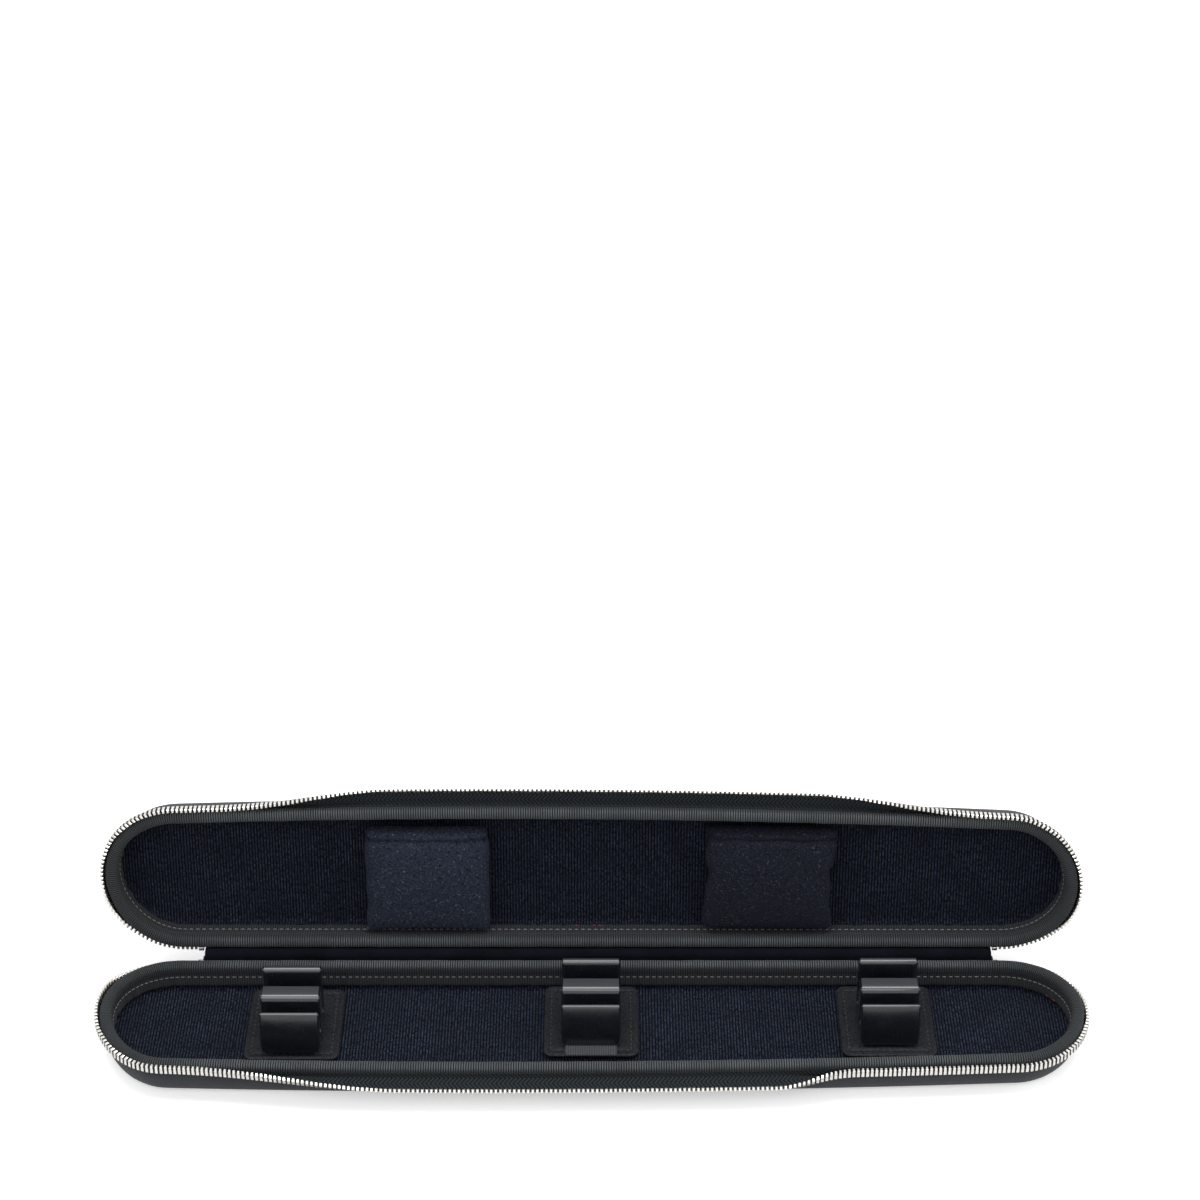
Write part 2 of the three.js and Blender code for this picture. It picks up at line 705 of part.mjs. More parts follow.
// A slider lies behind the tooth rail: X along the rail, Y outwards, Z up, its middle at 0
function sliderGeometry() {
  const [l, t, c] = [sliderLength / 2, sliderThickness, sliderChamfer];
  const body = new THREE.Shape();
  body.moveTo(-l, 0);
  body.lineTo(l, 0);
  body.lineTo(l, t - c);
  body.lineTo(l - c, t);
  body.lineTo(c - l, t);
  body.lineTo(-l, t - c);
  const reach = t + bridgeClear + bridgeBar;
  const b = bridgeLength / 2;
  const bridge = new THREE.Shape();
  bridge.moveTo(-b, t / 2);
  bridge.lineTo(bridgeBar - b, t / 2);
  bridge.lineTo(bridgeBar - b, reach - bridgeBar);
  bridge.lineTo(b - bridgeBar, reach - bridgeBar);
  bridge.lineTo(b - bridgeBar, t / 2);
  bridge.lineTo(b, t / 2);
  bridge.lineTo(b, reach - bridgeBar / 2);
  bridge.lineTo(b - bridgeBar / 2, reach);
  bridge.lineTo(bridgeBar / 2 - b, reach);
  bridge.lineTo(-b, reach - bridgeBar / 2);
  const drawn = (shape, width) => {
    const geometry = new THREE.ExtrudeGeometry(shape, { depth: width, bevelEnabled: false });
    return toManifold(geometry.translate(0, 0, -width / 2));
  };
  return fromManifold(drawn(body, sliderWidth).add(drawn(bridge, bridgeBar)));
}

// A pull hangs from its eye at 0 with its length down -Z and its back face at Y 0
function pullGeometry() {
  const [w, tip] = [pullWidth / 2, pullTipWidth / 2];
  const outline = new THREE.Shape();
  outline.moveTo(-w, 0);
  outline.lineTo(-tip, tip - pullLength);
  outline.absarc(0, tip - pullLength, tip, Math.PI, 2 * Math.PI);
  outline.lineTo(w, 0);
  outline.absarc(0, 0, w, 0, Math.PI);
  const eye = new THREE.Path();
  eye.absarc(0, 0, pullEyeRadius, 0, 2 * Math.PI, true);
  outline.holes.push(eye);
  const geometry = new THREE.ExtrudeGeometry(outline,
    { depth: pullThickness, bevelEnabled: false, curveSegments: filletSteps });
  return geometry.rotateX(Math.PI / 2).translate(0, pullThickness, 0);
}

function sliderGroup(name, side) {
  const group = new THREE.Group();
  const rail = zipSection(tray, zipEnd(side, 0));
  const face = rail.tip.x + toothThickness / 2 + clearance;
  group.add(mesh(`zip_slider_${name}`, sliderGeometry(), finishes.slider));
  const pull = mesh(`zip_pull_${name}`, pullGeometry(), finishes.slider);
  pull.position.set((side * (bridgeLength - bridgeBar)) / 2, sliderThickness + clearance, 0);
  group.add(pull);
  const end = clothShift + (side * clothLength) / 2;
  group.position.set(end + side * (sliderInset - sliderLength / 2), endRadius + face, sliderLevel);
  return group;
}

const batonCase = new THREE.Group();
batonCase.add(...halfPieces('tray', tray));
batonCase.add(mesh('tray_board', baseBoard(), finishes.board));
batonCase.add(...holders.map(holderGroup));
batonCase.add(sliderGroup('left', -1), sliderGroup('right', 1));

const lidGroup = new THREE.Group();
lidGroup.position.set(0, hingeY, hingeZ);
lidGroup.rotation.x = -lidOpening;
lidGroup.add(...halfPieces('lid', lid));
lidGroup.add(...pads.map(padGroup));
batonCase.add(lidGroup);

export default batonCase;
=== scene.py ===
"""Looks of a zipped case for conductor's batons: moulded shells faced with cloth, ribbed
linings, bound rims with a zip, three clip holders in the tray and two cushions in the lid.
Lengths are millimetres until a mesh is made, and heights in a half run from the outside of
its closed face to its rim."""
import json
import math

import bmesh
import bpy
import numpy as np
from mathutils import Matrix, Vector


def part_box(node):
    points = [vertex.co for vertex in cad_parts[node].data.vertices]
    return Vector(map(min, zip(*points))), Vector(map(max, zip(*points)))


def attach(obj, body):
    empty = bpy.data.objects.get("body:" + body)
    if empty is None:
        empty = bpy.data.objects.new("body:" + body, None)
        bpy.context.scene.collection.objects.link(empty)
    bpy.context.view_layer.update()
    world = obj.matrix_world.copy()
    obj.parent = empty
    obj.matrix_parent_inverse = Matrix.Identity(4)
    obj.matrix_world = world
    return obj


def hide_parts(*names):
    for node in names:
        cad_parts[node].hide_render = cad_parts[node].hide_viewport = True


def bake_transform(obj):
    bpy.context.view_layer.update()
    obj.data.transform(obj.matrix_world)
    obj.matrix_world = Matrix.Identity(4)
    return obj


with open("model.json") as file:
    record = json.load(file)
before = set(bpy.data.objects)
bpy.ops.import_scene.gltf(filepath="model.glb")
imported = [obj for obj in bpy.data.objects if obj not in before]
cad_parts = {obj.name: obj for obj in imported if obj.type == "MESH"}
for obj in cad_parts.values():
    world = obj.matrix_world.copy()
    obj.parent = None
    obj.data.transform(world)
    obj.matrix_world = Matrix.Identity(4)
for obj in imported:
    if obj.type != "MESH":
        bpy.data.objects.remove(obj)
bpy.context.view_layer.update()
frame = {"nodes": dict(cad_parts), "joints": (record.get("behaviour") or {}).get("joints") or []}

MM = 0.001


# Sizes read from the frame
def node_box(node):
    return [np.array(corner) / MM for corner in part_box(node)]


hinge = next(joint for joint in frame["joints"] if joint["name"] == "lid_hinge")
_, rim_high = node_box("tray_binding")
cloth_low, cloth_high = node_box("tray_hinge_cloth")

end_radius = rim_high[1]
arc_centre_x = rim_high[0] - end_radius
front_bow = 3.9
front_taper = 3.6
half_height = rim_high[2]
hinge_y, hinge_z = np.array(hinge["pos_m"][1:]) / MM
lid_opening = math.radians(-hinge["range_deg"][0])
bow_centre_y = (arc_centre_x**2 - front_bow**2) / (2 * front_bow)
bow_radius = end_radius + math.hypot(arc_centre_x, bow_centre_y)
bow_half_angle = math.atan2(arc_centre_x, bow_centre_y)

# The section of each half, as in the part's source
shell_inset = 1.1
shell_wall = 2.4
shell_edge_radius = 10
lining_inset = 3.8
lining_thickness = 0.8
lining_corner_radius = 2.2
flap_inset = 4.9
binding_thickness = 0.8
binding_roll = 2.4
binding_flank = 3.8
binding_flap = 11.5
wall_draft = 0.8
wall_top = half_height - binding_roll


def adjusted(target, **settings):
    """Sets a thing's properties, and gives it back."""
    for key, value in settings.items():
        setattr(target, key, value)
    return target


class Half:
    """The tray, or the lid turned about the cloth hinge. Pairs are for left and right."""

    def __init__(self, name, opening, **sizes):
        self.name = name
        self.opening = opening
        adjusted(self, **sizes)

    def place(self, x, y, h):
        """Where a point of the half's own plan and height lies at rest."""
        if self.opening is None:
            return together(x, y, h)
        up = hinge_z - h
        back = y - hinge_y
        c, s = math.cos(-self.opening), math.sin(-self.opening)
        return together(x, hinge_y + back * c - up * s, hinge_z + back * s + up * c)

    def turn(self, x, y, h):
        """A direction of the half's own plan and height at rest."""
        return self.place(x, y, h) - self.place(0.0, 0.0, 0.0)


# Flares are shares of the front's half length: where the zip tape starts to turn outwards,
# and where it is fully turned. Lean is how far a round end leans towards the hinge
tray = Half("tray", None, floor=3.5, lining_level=6.5, lining_floor=7.5,
            tape_angle=math.radians(-32), tooth_angle=math.radians(38),
            flares=((1.0, 0.42), (0.62, 0.42)), lean=(4.2, 2.3), end_drops=(5.7, 8.4),
            tape_width=6.2, flap_seam=6.7, seed=1.0)
lid = Half("lid", lid_opening, floor=4.3, lining_level=4.6, lining_floor=5.6,
           tape_angle=0.0, tooth_angle=math.radians(53),
           flares=((0.9, 0.48), (0.97, 0.52)), lean=(-1.8, 2.5), end_drops=(5.7, 5.7),
           tape_width=7.4, flap_seam=8.3, seed=2.0)


# The rim's plan: distance along it runs from the back's right end round the right end, the
# front and the left end
arc_run = end_radius * (math.pi - bow_half_angle)
front_run = 2 * bow_half_angle * bow_radius
back_run = 2 * arc_centre_x
rim_run = 2 * arc_run + front_run + back_run


def rim_frame(s):
    """Centre, radius and outward direction of the rim at distances s."""
    s = np.mod(np.asarray(s, float), rim_run)
    end_turn = math.pi - bow_half_angle
    turn_right = math.pi / 2 - end_turn * s / arc_run
    turn_front = bow_half_angle * (1 - 2 * (s - arc_run) / front_run)
    turn_left = math.pi / 2 - end_turn * (1 - (s - arc_run - front_run) / arc_run)
    parts = [s < arc_run, s < arc_run + front_run, s < 2 * arc_run + front_run]

    def part(right, front, left, back):
        return np.select(parts, [right, front, left], back)

    cx = part(arc_centre_x, 0.0, -arc_centre_x, s - 2 * arc_run - front_run - arc_centre_x)
    cy = part(0.0, bow_centre_y, 0.0, 0.0)
    radius = part(end_radius, bow_radius, end_radius, end_radius)
    nx = part(np.cos(turn_right), np.sin(turn_front), -np.cos(turn_left), 0.0)
    ny = part(np.sin(turn_right), -np.cos(turn_front), np.sin(turn_left), 1.0)
    return cx, cy, radius, nx, ny


def rim_point(half, s, out):
    """Plan of a point out from the rim's outer face at distances s: the round ends lean
    towards the hinge, and the front comes closer to it towards the right."""
    cx, cy, radius, nx, ny = rim_frame(s)
    lean = np.where(cx < 0, *half.lean) * nx * nx * (np.abs(cx) > 1)
    x, y = cx + nx * (radius + out), cy + lean + ny * (radius + out)
    shift = front_taper / 2 * (x / arc_centre_x)
    return x, y + shift * (end_radius - y) / (2 * end_radius), nx, ny


def closed_stations(step):
    count = int(round(rim_run / step))
    return np.arange(count) * (rim_run / count)


def even_stations(arc_count, line_count):
    """Stations that match across the case, so that a floor can be drawn to a middle line."""
    arc = np.arange(arc_count) / arc_count * arc_run
    across = np.arange(line_count) / line_count
    s = np.concatenate([arc, arc_run + across * front_run, arc + arc_run + front_run,
                        2 * arc_run + front_run + across * back_run])
    share = np.concatenate([np.ones(arc_count), 1 - 2 * across, -np.ones(arc_count),
                            -1 + 2 * across])
    return s, share


def loop_noise(s, cycles, seed):
    """A smooth ripple from -1 to 1 that closes on itself round the rim."""
    waves = [np.sin(2 * math.pi * cycle * s / rim_run + seed * (k + 1.7) * 2.39)
             for k, cycle in enumerate(cycles)]
    return sum(waves) / len(cycles)


def smooth(t):
    t = np.clip(t, 0, 1)
    return t * t * (3 - 2 * t)


def between(a, b, t):
    return a + (b - a) * t


def together(*parts):
    """Values side by side along a new last axis."""
    return np.stack(np.broadcast_arrays(*parts), axis=-1)


def unit(vectors):
    return vectors / np.linalg.norm(vectors, axis=-1, keepdims=True)


# Meshes
def new_object(name, points, faces, uvs=None):
    mesh = bpy.data.meshes.new(name)
    mesh.from_pydata((np.asarray(points).reshape(-1, 3) * MM).tolist(), [], faces)
    if uvs is not None:
        layer = mesh.uv_layers.new(name="cloth")
        layer.data.foreach_set("uv", np.asarray(uvs, np.float32).ravel())
    mesh.shade_smooth()
    return linked(name, mesh)


def linked(name, data):
    piece = bpy.data.objects.new(name, data)
    bpy.context.scene.collection.objects.link(piece)
    return piece


def face_outwards(piece):
    """Turns a closed piece's faces outwards by its volume."""
    mesh = bmesh.new()
    mesh.from_mesh(piece.data)
    bmesh.ops.remove_doubles(mesh, verts=mesh.verts, dist=1e-7)
    if mesh.calc_volume(signed=True) < 0:
        bmesh.ops.reverse_faces(mesh, faces=mesh.faces)
    mesh.to_mesh(piece.data)
    mesh.free()
    return piece


def grid_piece(name, points, uvs, loop_rows=False, loop_columns=False, row_period=0.0,
               caps=False):
    """A piece from rows and columns of points. A looped direction joins its end to its start."""
    rows, columns = points.shape[:2]
    r, c = np.indices((rows - (not loop_rows), columns - (not loop_columns))).reshape(2, -1)
    r2, c2 = (r + 1) % rows, (c + 1) % columns
    quads = together(r * columns + c, r2 * columns + c, r2 * columns + c2, r * columns + c2)
    corners = uvs.reshape(-1, 2)[quads]
    if loop_rows:
        corners[r2 == 0, 1:3, 0] += row_period
    if loop_columns:
        girth = uvs[:, -1, 1] + np.linalg.norm(points[:, -1] - points[:, 0], axis=-1)
        corners[c2 == 0, 2:, 1] = girth[r[c2 == 0], None]
    faces, corners = quads.tolist(), corners.reshape(-1, 2)
    if caps:
        for row in (0, rows - 1):
            faces.append([row * columns + k for k in range(columns)])
            corners = np.concatenate([corners, uvs[row]])
    return face_outwards(new_object(name, points, faces, corners))


def girths(section):
    """Distance along a section's points, from its first."""
    steps = np.linalg.norm(np.diff(section, axis=-2), axis=-1)
    start = np.zeros(steps.shape[:-1] + (1,))
    return np.concatenate([start, np.cumsum(steps, axis=-1)], axis=-1)


def sweep(name, half, s, sections, closed):
    """A section of outward distances and heights, carried along the rim."""
    x, y, _, _ = rim_point(half, s[:, None], sections[..., 0])
    points = half.place(x, y, sections[..., 1])
    uvs = np.stack([np.broadcast_to(s[:, None], x.shape), girths(sections)], axis=-1)
    return grid_piece(name, points, uvs, loop_rows=closed, loop_columns=True,
                      row_period=rim_run, caps=not closed)


def select_only(first, *others):
    bpy.ops.object.select_all(action="DESELECT")
    for piece in (first, *others):
        piece.select_set(True)
    bpy.context.view_layer.objects.active = first


def smooth_by_angle(piece, angle):
    select_only(piece)
    bpy.ops.object.shade_smooth_by_angle(angle=math.radians(angle))


def apply_modifiers(piece):
    select_only(piece)
    for modifier in list(piece.modifiers):
        bpy.ops.object.modifier_apply(modifier=modifier.name)


def wear_of(piece, body, *nodes, slot, paint):
    """Finishes a piece: what it moves with, what it stands for, and its material."""
    piece.data.materials.clear()
    piece.data.materials.append(paint)
    if nodes:
        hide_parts(*nodes)
    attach(piece, body)


# Shader effects: each is a node group with its own inputs and outputs
def effect(name, outputs, **sizes):
    tree = bpy.data.node_groups.new(name, "ShaderNodeTree")
    tree.interface.new_socket("Vector", in_out="INPUT", socket_type="NodeSocketVector")
    for label, value in sizes.items():
        socket = tree.interface.new_socket(label, in_out="INPUT", socket_type="NodeSocketFloat")
        socket.default_value = value
    for label in outputs:
        tree.interface.new_socket(label, in_out="OUTPUT", socket_type="NodeSocketFloat")
    given = tree.nodes.new("NodeGroupInput").outputs
    return tree, given["Vector"], given, tree.nodes.new("NodeGroupOutput").inputs


def node(tree, kind, inputs=None, **settings):
    made = adjusted(tree.nodes.new(kind), **settings)
    for key, value in (inputs or {}).items():
        if isinstance(value, bpy.types.NodeSocket):
            tree.links.new(value, made.inputs[key])
        else:
            made.inputs[key].default_value = value
    return made


def calc(tree, operation, *values, clamp=False):
    return node(tree, "ShaderNodeMath", dict(enumerate(values)), operation=operation,
                use_clamp=clamp).outputs[0]


def axis(tree, vector, k):
    return node(tree, "ShaderNodeSeparateXYZ", {0: vector}).outputs[k]


def remap(tree, value, low, high, to_low=0.0, to_high=1.0):
    made = node(tree, "ShaderNodeMapRange", {0: value, 1: low, 2: high, 3: to_low, 4: to_high},
                interpolation_type="SMOOTHSTEP")
    return made.outputs[0]


def noise(tree, vector, scale, detail=2.0, roughness=0.5, output="Fac"):
    return node(tree, "ShaderNodeTexNoise", {"Vector": vector, "Scale": scale,
                "Detail": detail, "Roughness": roughness}).outputs[output]


def bands(tree, x, pitch):
    """Repeats at a pitch: 0 in the middle of each band and 1 at its edges."""
    phase = calc(tree, "FRACT", calc(tree, "DIVIDE", x, pitch))
    return calc(tree, "ABSOLUTE", calc(tree, "MULTIPLY_ADD", phase, 2.0, -1.0))


def finished(tree, result, **outputs):
    for label, value in outputs.items():
        tree.links.new(value, result[label])
    return tree


def ribs_effect():
    """Round cords across X, a little uneven, with dark grooves between them."""
    tree, at, given, result = effect("Ribs", ["Height", "Groove"], Pitch=1.5, Wobble=0.3)
    sway = calc(tree, "SUBTRACT", noise(tree, at, 0.35, 3.0), 0.5)
    x = calc(tree, "MULTIPLY_ADD", sway, given["Wobble"], axis(tree, at, 0))
    side = bands(tree, x, given["Pitch"])
    fall = calc(tree, "SUBTRACT", 1.0, calc(tree, "MULTIPLY", side, side), clamp=True)
    return finished(tree, result, Height=calc(tree, "SQRT", fall),
                    Groove=remap(tree, side, 0.4, 0.9))


def twill_effect():
    """Slanted threads that turn back at each band across Y, as on zip tape."""
    tree, at, given, result = effect("Twill", ["Height", "Groove"], Pitch=0.9, Band=2.0)
    fold = calc(tree, "PINGPONG", axis(tree, at, 1), given["Band"])
    side = bands(tree, calc(tree, "ADD", axis(tree, at, 0), fold), given["Pitch"])
    height = calc(tree, "SUBTRACT", 1.0, calc(tree, "POWER", side, 2.0))
    return finished(tree, result, Height=height, Groove=remap(tree, side, 0.5, 1.0))


def weave_effect():
    """A plain weave: threads of the two directions pass over and under each other."""
    tree, at, given, result = effect("Weave", ["Height", "Groove"], Pitch=0.6)
    waves = [calc(tree, "SINE", calc(tree, "MULTIPLY", calc(
        tree, "DIVIDE", axis(tree, at, k), given["Pitch"]), 2 * math.pi))
        for k in range(2)]
    height = calc(tree, "MULTIPLY_ADD", calc(tree, "MULTIPLY", *waves), 0.5, 0.5)
    return finished(tree, result, Height=height, Groove=remap(tree, height, 0.45, 0.0))


def fuzz_effect():
    """Short loose fibres: fine uneven height, and masks of paler ends and broad drifts."""
    tree, at, given, result = effect("Fuzz", ["Height", "Ends", "Drift"], Size=0.25)
    scale = calc(tree, "DIVIDE", 1.0, given["Size"])
    fine = noise(tree, at, scale, 4.0, 0.7)
    broad = noise(tree, at, calc(tree, "MULTIPLY", scale, 0.02), 3.0)
    return finished(tree, result, Height=fine, Ends=remap(tree, fine, 0.56, 0.74),
                    Drift=remap(tree, broad, 0.3, 0.7))


def loops_effect():
    """Terry loops, or at a smaller size the pebbles of leather."""
    tree, at, given, result = effect("Loops", ["Height", "Groove"], Size=1.1, Flow=0.6)
    sway = noise(tree, at, calc(tree, "DIVIDE", 0.7, given["Size"]), output="Color")
    drift = node(tree, "ShaderNodeVectorMath", {0: sway, "Scale": given["Flow"]},
                 operation="SCALE")
    moved = node(tree, "ShaderNodeVectorMath", {0: at, 1: drift.outputs[0]},
                 operation="ADD")
    cells = node(tree, "ShaderNodeTexVoronoi", {"Vector": moved.outputs[0],
                 "Scale": calc(tree, "DIVIDE", 1.0, given["Size"])}, feature="SMOOTH_F1")
    distance = cells.outputs["Distance"]
    return finished(tree, result, Height=calc(tree, "SUBTRACT", 1.0, distance, clamp=True),
                    Groove=remap(tree, distance, 0.35, 0.75))


def streaks_effect():
    """Pale and dark strokes along Y, used as painted sheen where a nap catches light."""
    tree, at, given, result = effect("Streaks", ["Streak"], Width=0.8, Length=4.0)
    narrow = node(tree, "ShaderNodeCombineXYZ", {
        k: calc(tree, "DIVIDE", axis(tree, at, k), given[label])
        for k, label in enumerate(("Width", "Length"))})
    stroke = noise(tree, narrow.outputs[0], 1.0, 3.0, 0.6)
    return finished(tree, result, Streak=remap(tree, stroke, 0.36, 0.66))


def scuff_effect():
    """Rubbed patches and hairline scratches, as on handled plastic and metal."""
    tree, at, given, result = effect("Scuffs", ["Rub", "Scratch"], Size=6.0)
    scale = calc(tree, "DIVIDE", 1.0, given["Size"])
    rub = noise(tree, at, scale, 4.0, 0.6)
    long_way = node(tree, "ShaderNodeVectorMath", {0: at,
                    1: (1.0, 0.07, 0.2)}, operation="MULTIPLY")
    line = noise(tree, long_way.outputs[0], calc(tree, "MULTIPLY", scale, 14.0))
    return finished(tree, result, Rub=remap(tree, rub, 0.45, 0.75),
                    Scratch=remap(tree, line, 0.66, 0.76))


ribs, twill, weave = ribs_effect(), twill_effect(), weave_effect()
fuzz, loops, scuffs, streaks = fuzz_effect(), loops_effect(), scuff_effect(), streaks_effect()


# Materials
def colour(code):
    """A colour code as it is seen, in the linear values that a shader takes."""
    parts = [int(code[k:k + 2], 16) / 255 for k in (0, 2, 4)]
    linear = [p / 12.92 if p <= 0.04045 else ((p + 0.055) / 1.055) ** 2.4 for p in parts]
    return (*linear, 1.0)


class Paint:
    """A material with its shader, and short ways to add effects to it."""

    def __init__(self, name, roughness, **constants):
        self.material = bpy.data.materials.new(name)
        self.material.use_nodes = True
        self.tree = self.material.node_tree
        self.shader = self.tree.nodes["Principled BSDF"]
        self.set("Roughness", roughness)
        for key, value in constants.items():
            self.set(key.replace("_", " "), value)

    def set(self, key, value):
        socket = self.shader.inputs[key]
        if isinstance(value, bpy.types.NodeSocket):
            self.tree.links.new(value, socket)
        else:
            socket.default_value = value

    def cloth(self):
        """The piece's own map, in millimetres."""
        return node(self.tree, "ShaderNodeUVMap", uv_map="cloth").outputs[0]

    def object(self):
        """Object coordinates, in millimetres."""
        here = node(self.tree, "ShaderNodeTexCoord").outputs["Object"]
        return node(self.tree, "ShaderNodeVectorMath", {0: here, 1: (1000.0,) * 3},
                    operation="MULTIPLY").outputs[0]

    def use(self, group, vector, **values):
        return node(self.tree, "ShaderNodeGroup", {"Vector": vector, **values},
                    node_tree=group).outputs

    def calc(self, operation, *values, clamp=False):
        return calc(self.tree, operation, *values, clamp=clamp)

    def share(self, mask, factor):
        """A mask made weaker or stronger."""
        return self.calc("MULTIPLY", mask, factor, clamp=True)

    def mix(self, share, a, b):
        """A mix of colours, given as sockets, colour codes or linear values."""
        a, b = (colour(value) if isinstance(value, str) else value for value in (a, b))
        return node(self.tree, "ShaderNodeMix", {0: share, 6: a, 7: b}, data_type="RGBA").outputs[2]

    def fibres(self, at, size, base, ends, end_tone, drift=None):
        """Colours the face: a base with drifts of a darker tone, and paler fibre ends. Gives
        the fibres' height."""
        fibre = self.use(fuzz, at, Size=size)
        if drift:
            base = self.mix(self.share(fibre["Drift"], drift[0]), base, drift[1])
        self.set("Base Color", self.mix(self.share(fibre["Ends"], ends), base, end_tone))
        return fibre["Height"]

    def grained(self, at, grain, tones, depths, fibres, drift=None):
        """Colours and bumps a face from a grain with its grooves' strength, the tones of face
        and grooves, and fibres over it. Gives the material."""
        group, groove, sizes = grain
        made = self.use(group, at, **sizes)
        base = self.mix(self.share(made["Groove"], groove), *tones)
        size, ends, end_tone = fibres
        nap = self.fibres(at, size, base, ends, end_tone, drift)
        return self.bump((made["Height"], depths[0]), (nap, depths[1]))

    def bump(self, *heights):
        """Heights with their real depths in millimetres, added up into one bump. Gives the
        material."""
        total = 0.0
        for height, depth in heights:
            total = self.calc("MULTIPLY_ADD", height, depth, total)
        made = node(self.tree, "ShaderNodeBump", {"Height": total, "Strength": 1.0,
                    "Distance": MM})
        self.set("Normal", made.outputs[0])
        return self.material


def velour_paint():
    """Navy velour with soft ribs from front to back, the nap catching light in streaks."""
    paint = Paint("Ribbed velour", 0.95, Sheen_Weight=0.06, Sheen_Roughness=0.5,
                  Sheen_Tint=colour("4a5270"), Specular_IOR_Level=0.12)
    at, bright = paint.cloth(), "363f52"
    # Painted sheen: the nap's streaks, lighter and darker in the base colour
    sheen_streak = paint.use(streaks, at, Width=0.7, Length=1.5)["Streak"]
    return paint.grained(at, (ribs, 2.6, {"Pitch": 1.42, "Wobble": 0.25}),
                         (paint.mix(sheen_streak, "05070b", bright), "010204"), (0.45, 0.3),
                         (0.3, 0.3, bright), drift=(0.35, "080c16"))


def painted_shade_velour_paint():
    """Smooth navy velour, its nap a little paler in places. Its tones are far darker than the
    lining's velour, as painted shade in the recess between the rims.
    """
    paint = Paint("Hinge velour in painted shade", 0.95, Specular_IOR_Level=0.1)
    nap = paint.fibres(paint.cloth(), 0.4, "04060b", 0.6, "1c2331", drift=(1.0, "0a0e17"))
    return paint.bump((nap, 0.4))


def binding_paint():
    """Grosgrain tape: fine ribs across it. Its olive-grey is paler on the crown, as painted light
    where the lamps fall on it, and darker down the flap and round the ends, as painted shade."""
    paint = Paint("Grosgrain binding", 0.85, Sheen_Weight=0.05, Sheen_Roughness=0.5,
                  Specular_IOR_Level=0.2)
    at, tree = paint.cloth(), paint.tree
    from_crown = paint.calc("ABSOLUTE", paint.calc("SUBTRACT", axis(tree, at, 1), 5.4))
    from_middle = paint.calc("ABSOLUTE", axis(tree, paint.object(), 0))
    # Painted shade: darker away from the lit crown of the roll, and towards the round ends
    painted_shade_share = paint.calc("MAXIMUM", remap(tree, from_crown, 1.5, 4.5),
                        remap(tree, from_middle, 165.0, 215.0, 0.0, 0.8))
    return paint.grained(at, (ribs, 1.9, {"Pitch": 1.15, "Wobble": 0.12}),
                         (paint.mix(painted_shade_share, "53585b", "303436"), "060708"), (0.2, 0.22),
                         (0.22, 0.35, "5c6060"), drift=(0.3, "1c1f21"))


def shell_paint():
    """Dark woven cloth laminated to the moulding."""
    paint = Paint("Outer cloth", 0.8, Sheen_Weight=0.15, Sheen_Roughness=0.5)
    return paint.grained(paint.cloth(), (weave, 1.0, {"Pitch": 0.9}), ("2c2e36", "141519"),
                         (0.12, 0.16), (0.35, 0.25, "4a4c54"), drift=(0.5, "22242a"))


def tape_paint():
    """Zip tape: slanted threads in bands."""
    paint = Paint("Zip tape", 0.85, Sheen_Weight=0.03, Specular_IOR_Level=0.15)
    return paint.grained(paint.cloth(), (twill, 1.8, {"Pitch": 2.0, "Band": 2.4}),
                         ("23292d", "010202"), (0.16, 0.1), (0.25, 0.2, "3c4347"))


def thread_paint(name, tone, end_tone):
    """Twisted sewing thread."""
    paint = Paint(name, 0.6, Sheen_Weight=0.2)
    return paint.bump((paint.fibres(paint.object(), 0.15, tone, 1.0, end_tone), 0.06))


def tooth_paint():
    """Bright nickel teeth, a little browned where they are crimped."""
    paint = Paint("Nickel teeth", 0.28, Metallic=1.0)
    rub = paint.use(scuffs, paint.object(), Size=1.6)
    paint.set("Base Color", paint.mix(paint.share(rub["Rub"], 0.35), "f2f0ec", "b9a88c"))
    paint.set("Roughness", paint.calc("MULTIPLY_ADD", rub["Rub"], 0.25, 0.2))
    return paint.bump((rub["Scratch"], 0.02))


def slider_paint():
    """Black lacquered zip metal, bright copper where it is rubbed."""
    paint = Paint("Lacquered zip metal", 0.35, Metallic=0.4)
    rub = paint.use(scuffs, paint.object(), Size=1.8)
    paint.set("Base Color", paint.mix(paint.share(rub["Rub"], rub["Rub"]), "1b1b1d", "6b4a34"))
    paint.set("Roughness", paint.calc("MULTIPLY_ADD", rub["Scratch"], 0.25, 0.3))
    return paint.bump((rub["Scratch"], 0.03))


def leather_paint():
    """Fine-grained black leather cloth."""
    paint = Paint("Leather cloth", 0.6, Specular_IOR_Level=0.25)
    at = paint.object()
    grain = paint.use(loops, at, Size=0.9, Flow=0.5)
    base = paint.mix(grain["Groove"], "1b1d21", "040506")
    face = paint.fibres(at, 0.9, base, 0.8, "3e4248")
    paint.set("Roughness", paint.calc("MULTIPLY_ADD", grain["Groove"], 0.25, 0.45))
    return paint.bump((grain["Height"], 0.3), (face, 0.3))


def webbing_paint():
    """Grey strap webbing with thick weft ribs."""
    paint = Paint("Strap webbing", 0.75, Sheen_Weight=0.2, Specular_IOR_Level=0.35)
    at = paint.cloth()
    turned = node(paint.tree, "ShaderNodeCombineXYZ", {
        0: axis(paint.tree, at, 1), 1: axis(paint.tree, at, 0)}).outputs[0]
    across = paint.use(ribs, turned, Pitch=1.6, Wobble=0.1)
    along = paint.use(ribs, at, Pitch=1.1, Wobble=0.05)
    gaps = paint.calc("MAXIMUM", along["Groove"], paint.share(across["Groove"], 0.35))
    face = paint.fibres(at, 0.25, paint.mix(gaps, "3c4042", "0d0e0f"), 0.3, "5a5d60")
    return paint.bump((across["Height"], 0.08), (along["Height"], 0.2), (face, 0.08))


def hook_paint():
    """Black hook fastener tape."""
    paint = Paint("Hook tape", 0.8)
    dots = paint.use(loops, paint.object(), Size=0.9, Flow=0.1)
    paint.set("Base Color", paint.mix(dots["Groove"], "1d1f22", "08090a"))
    return paint.bump((dots["Height"], 0.5))


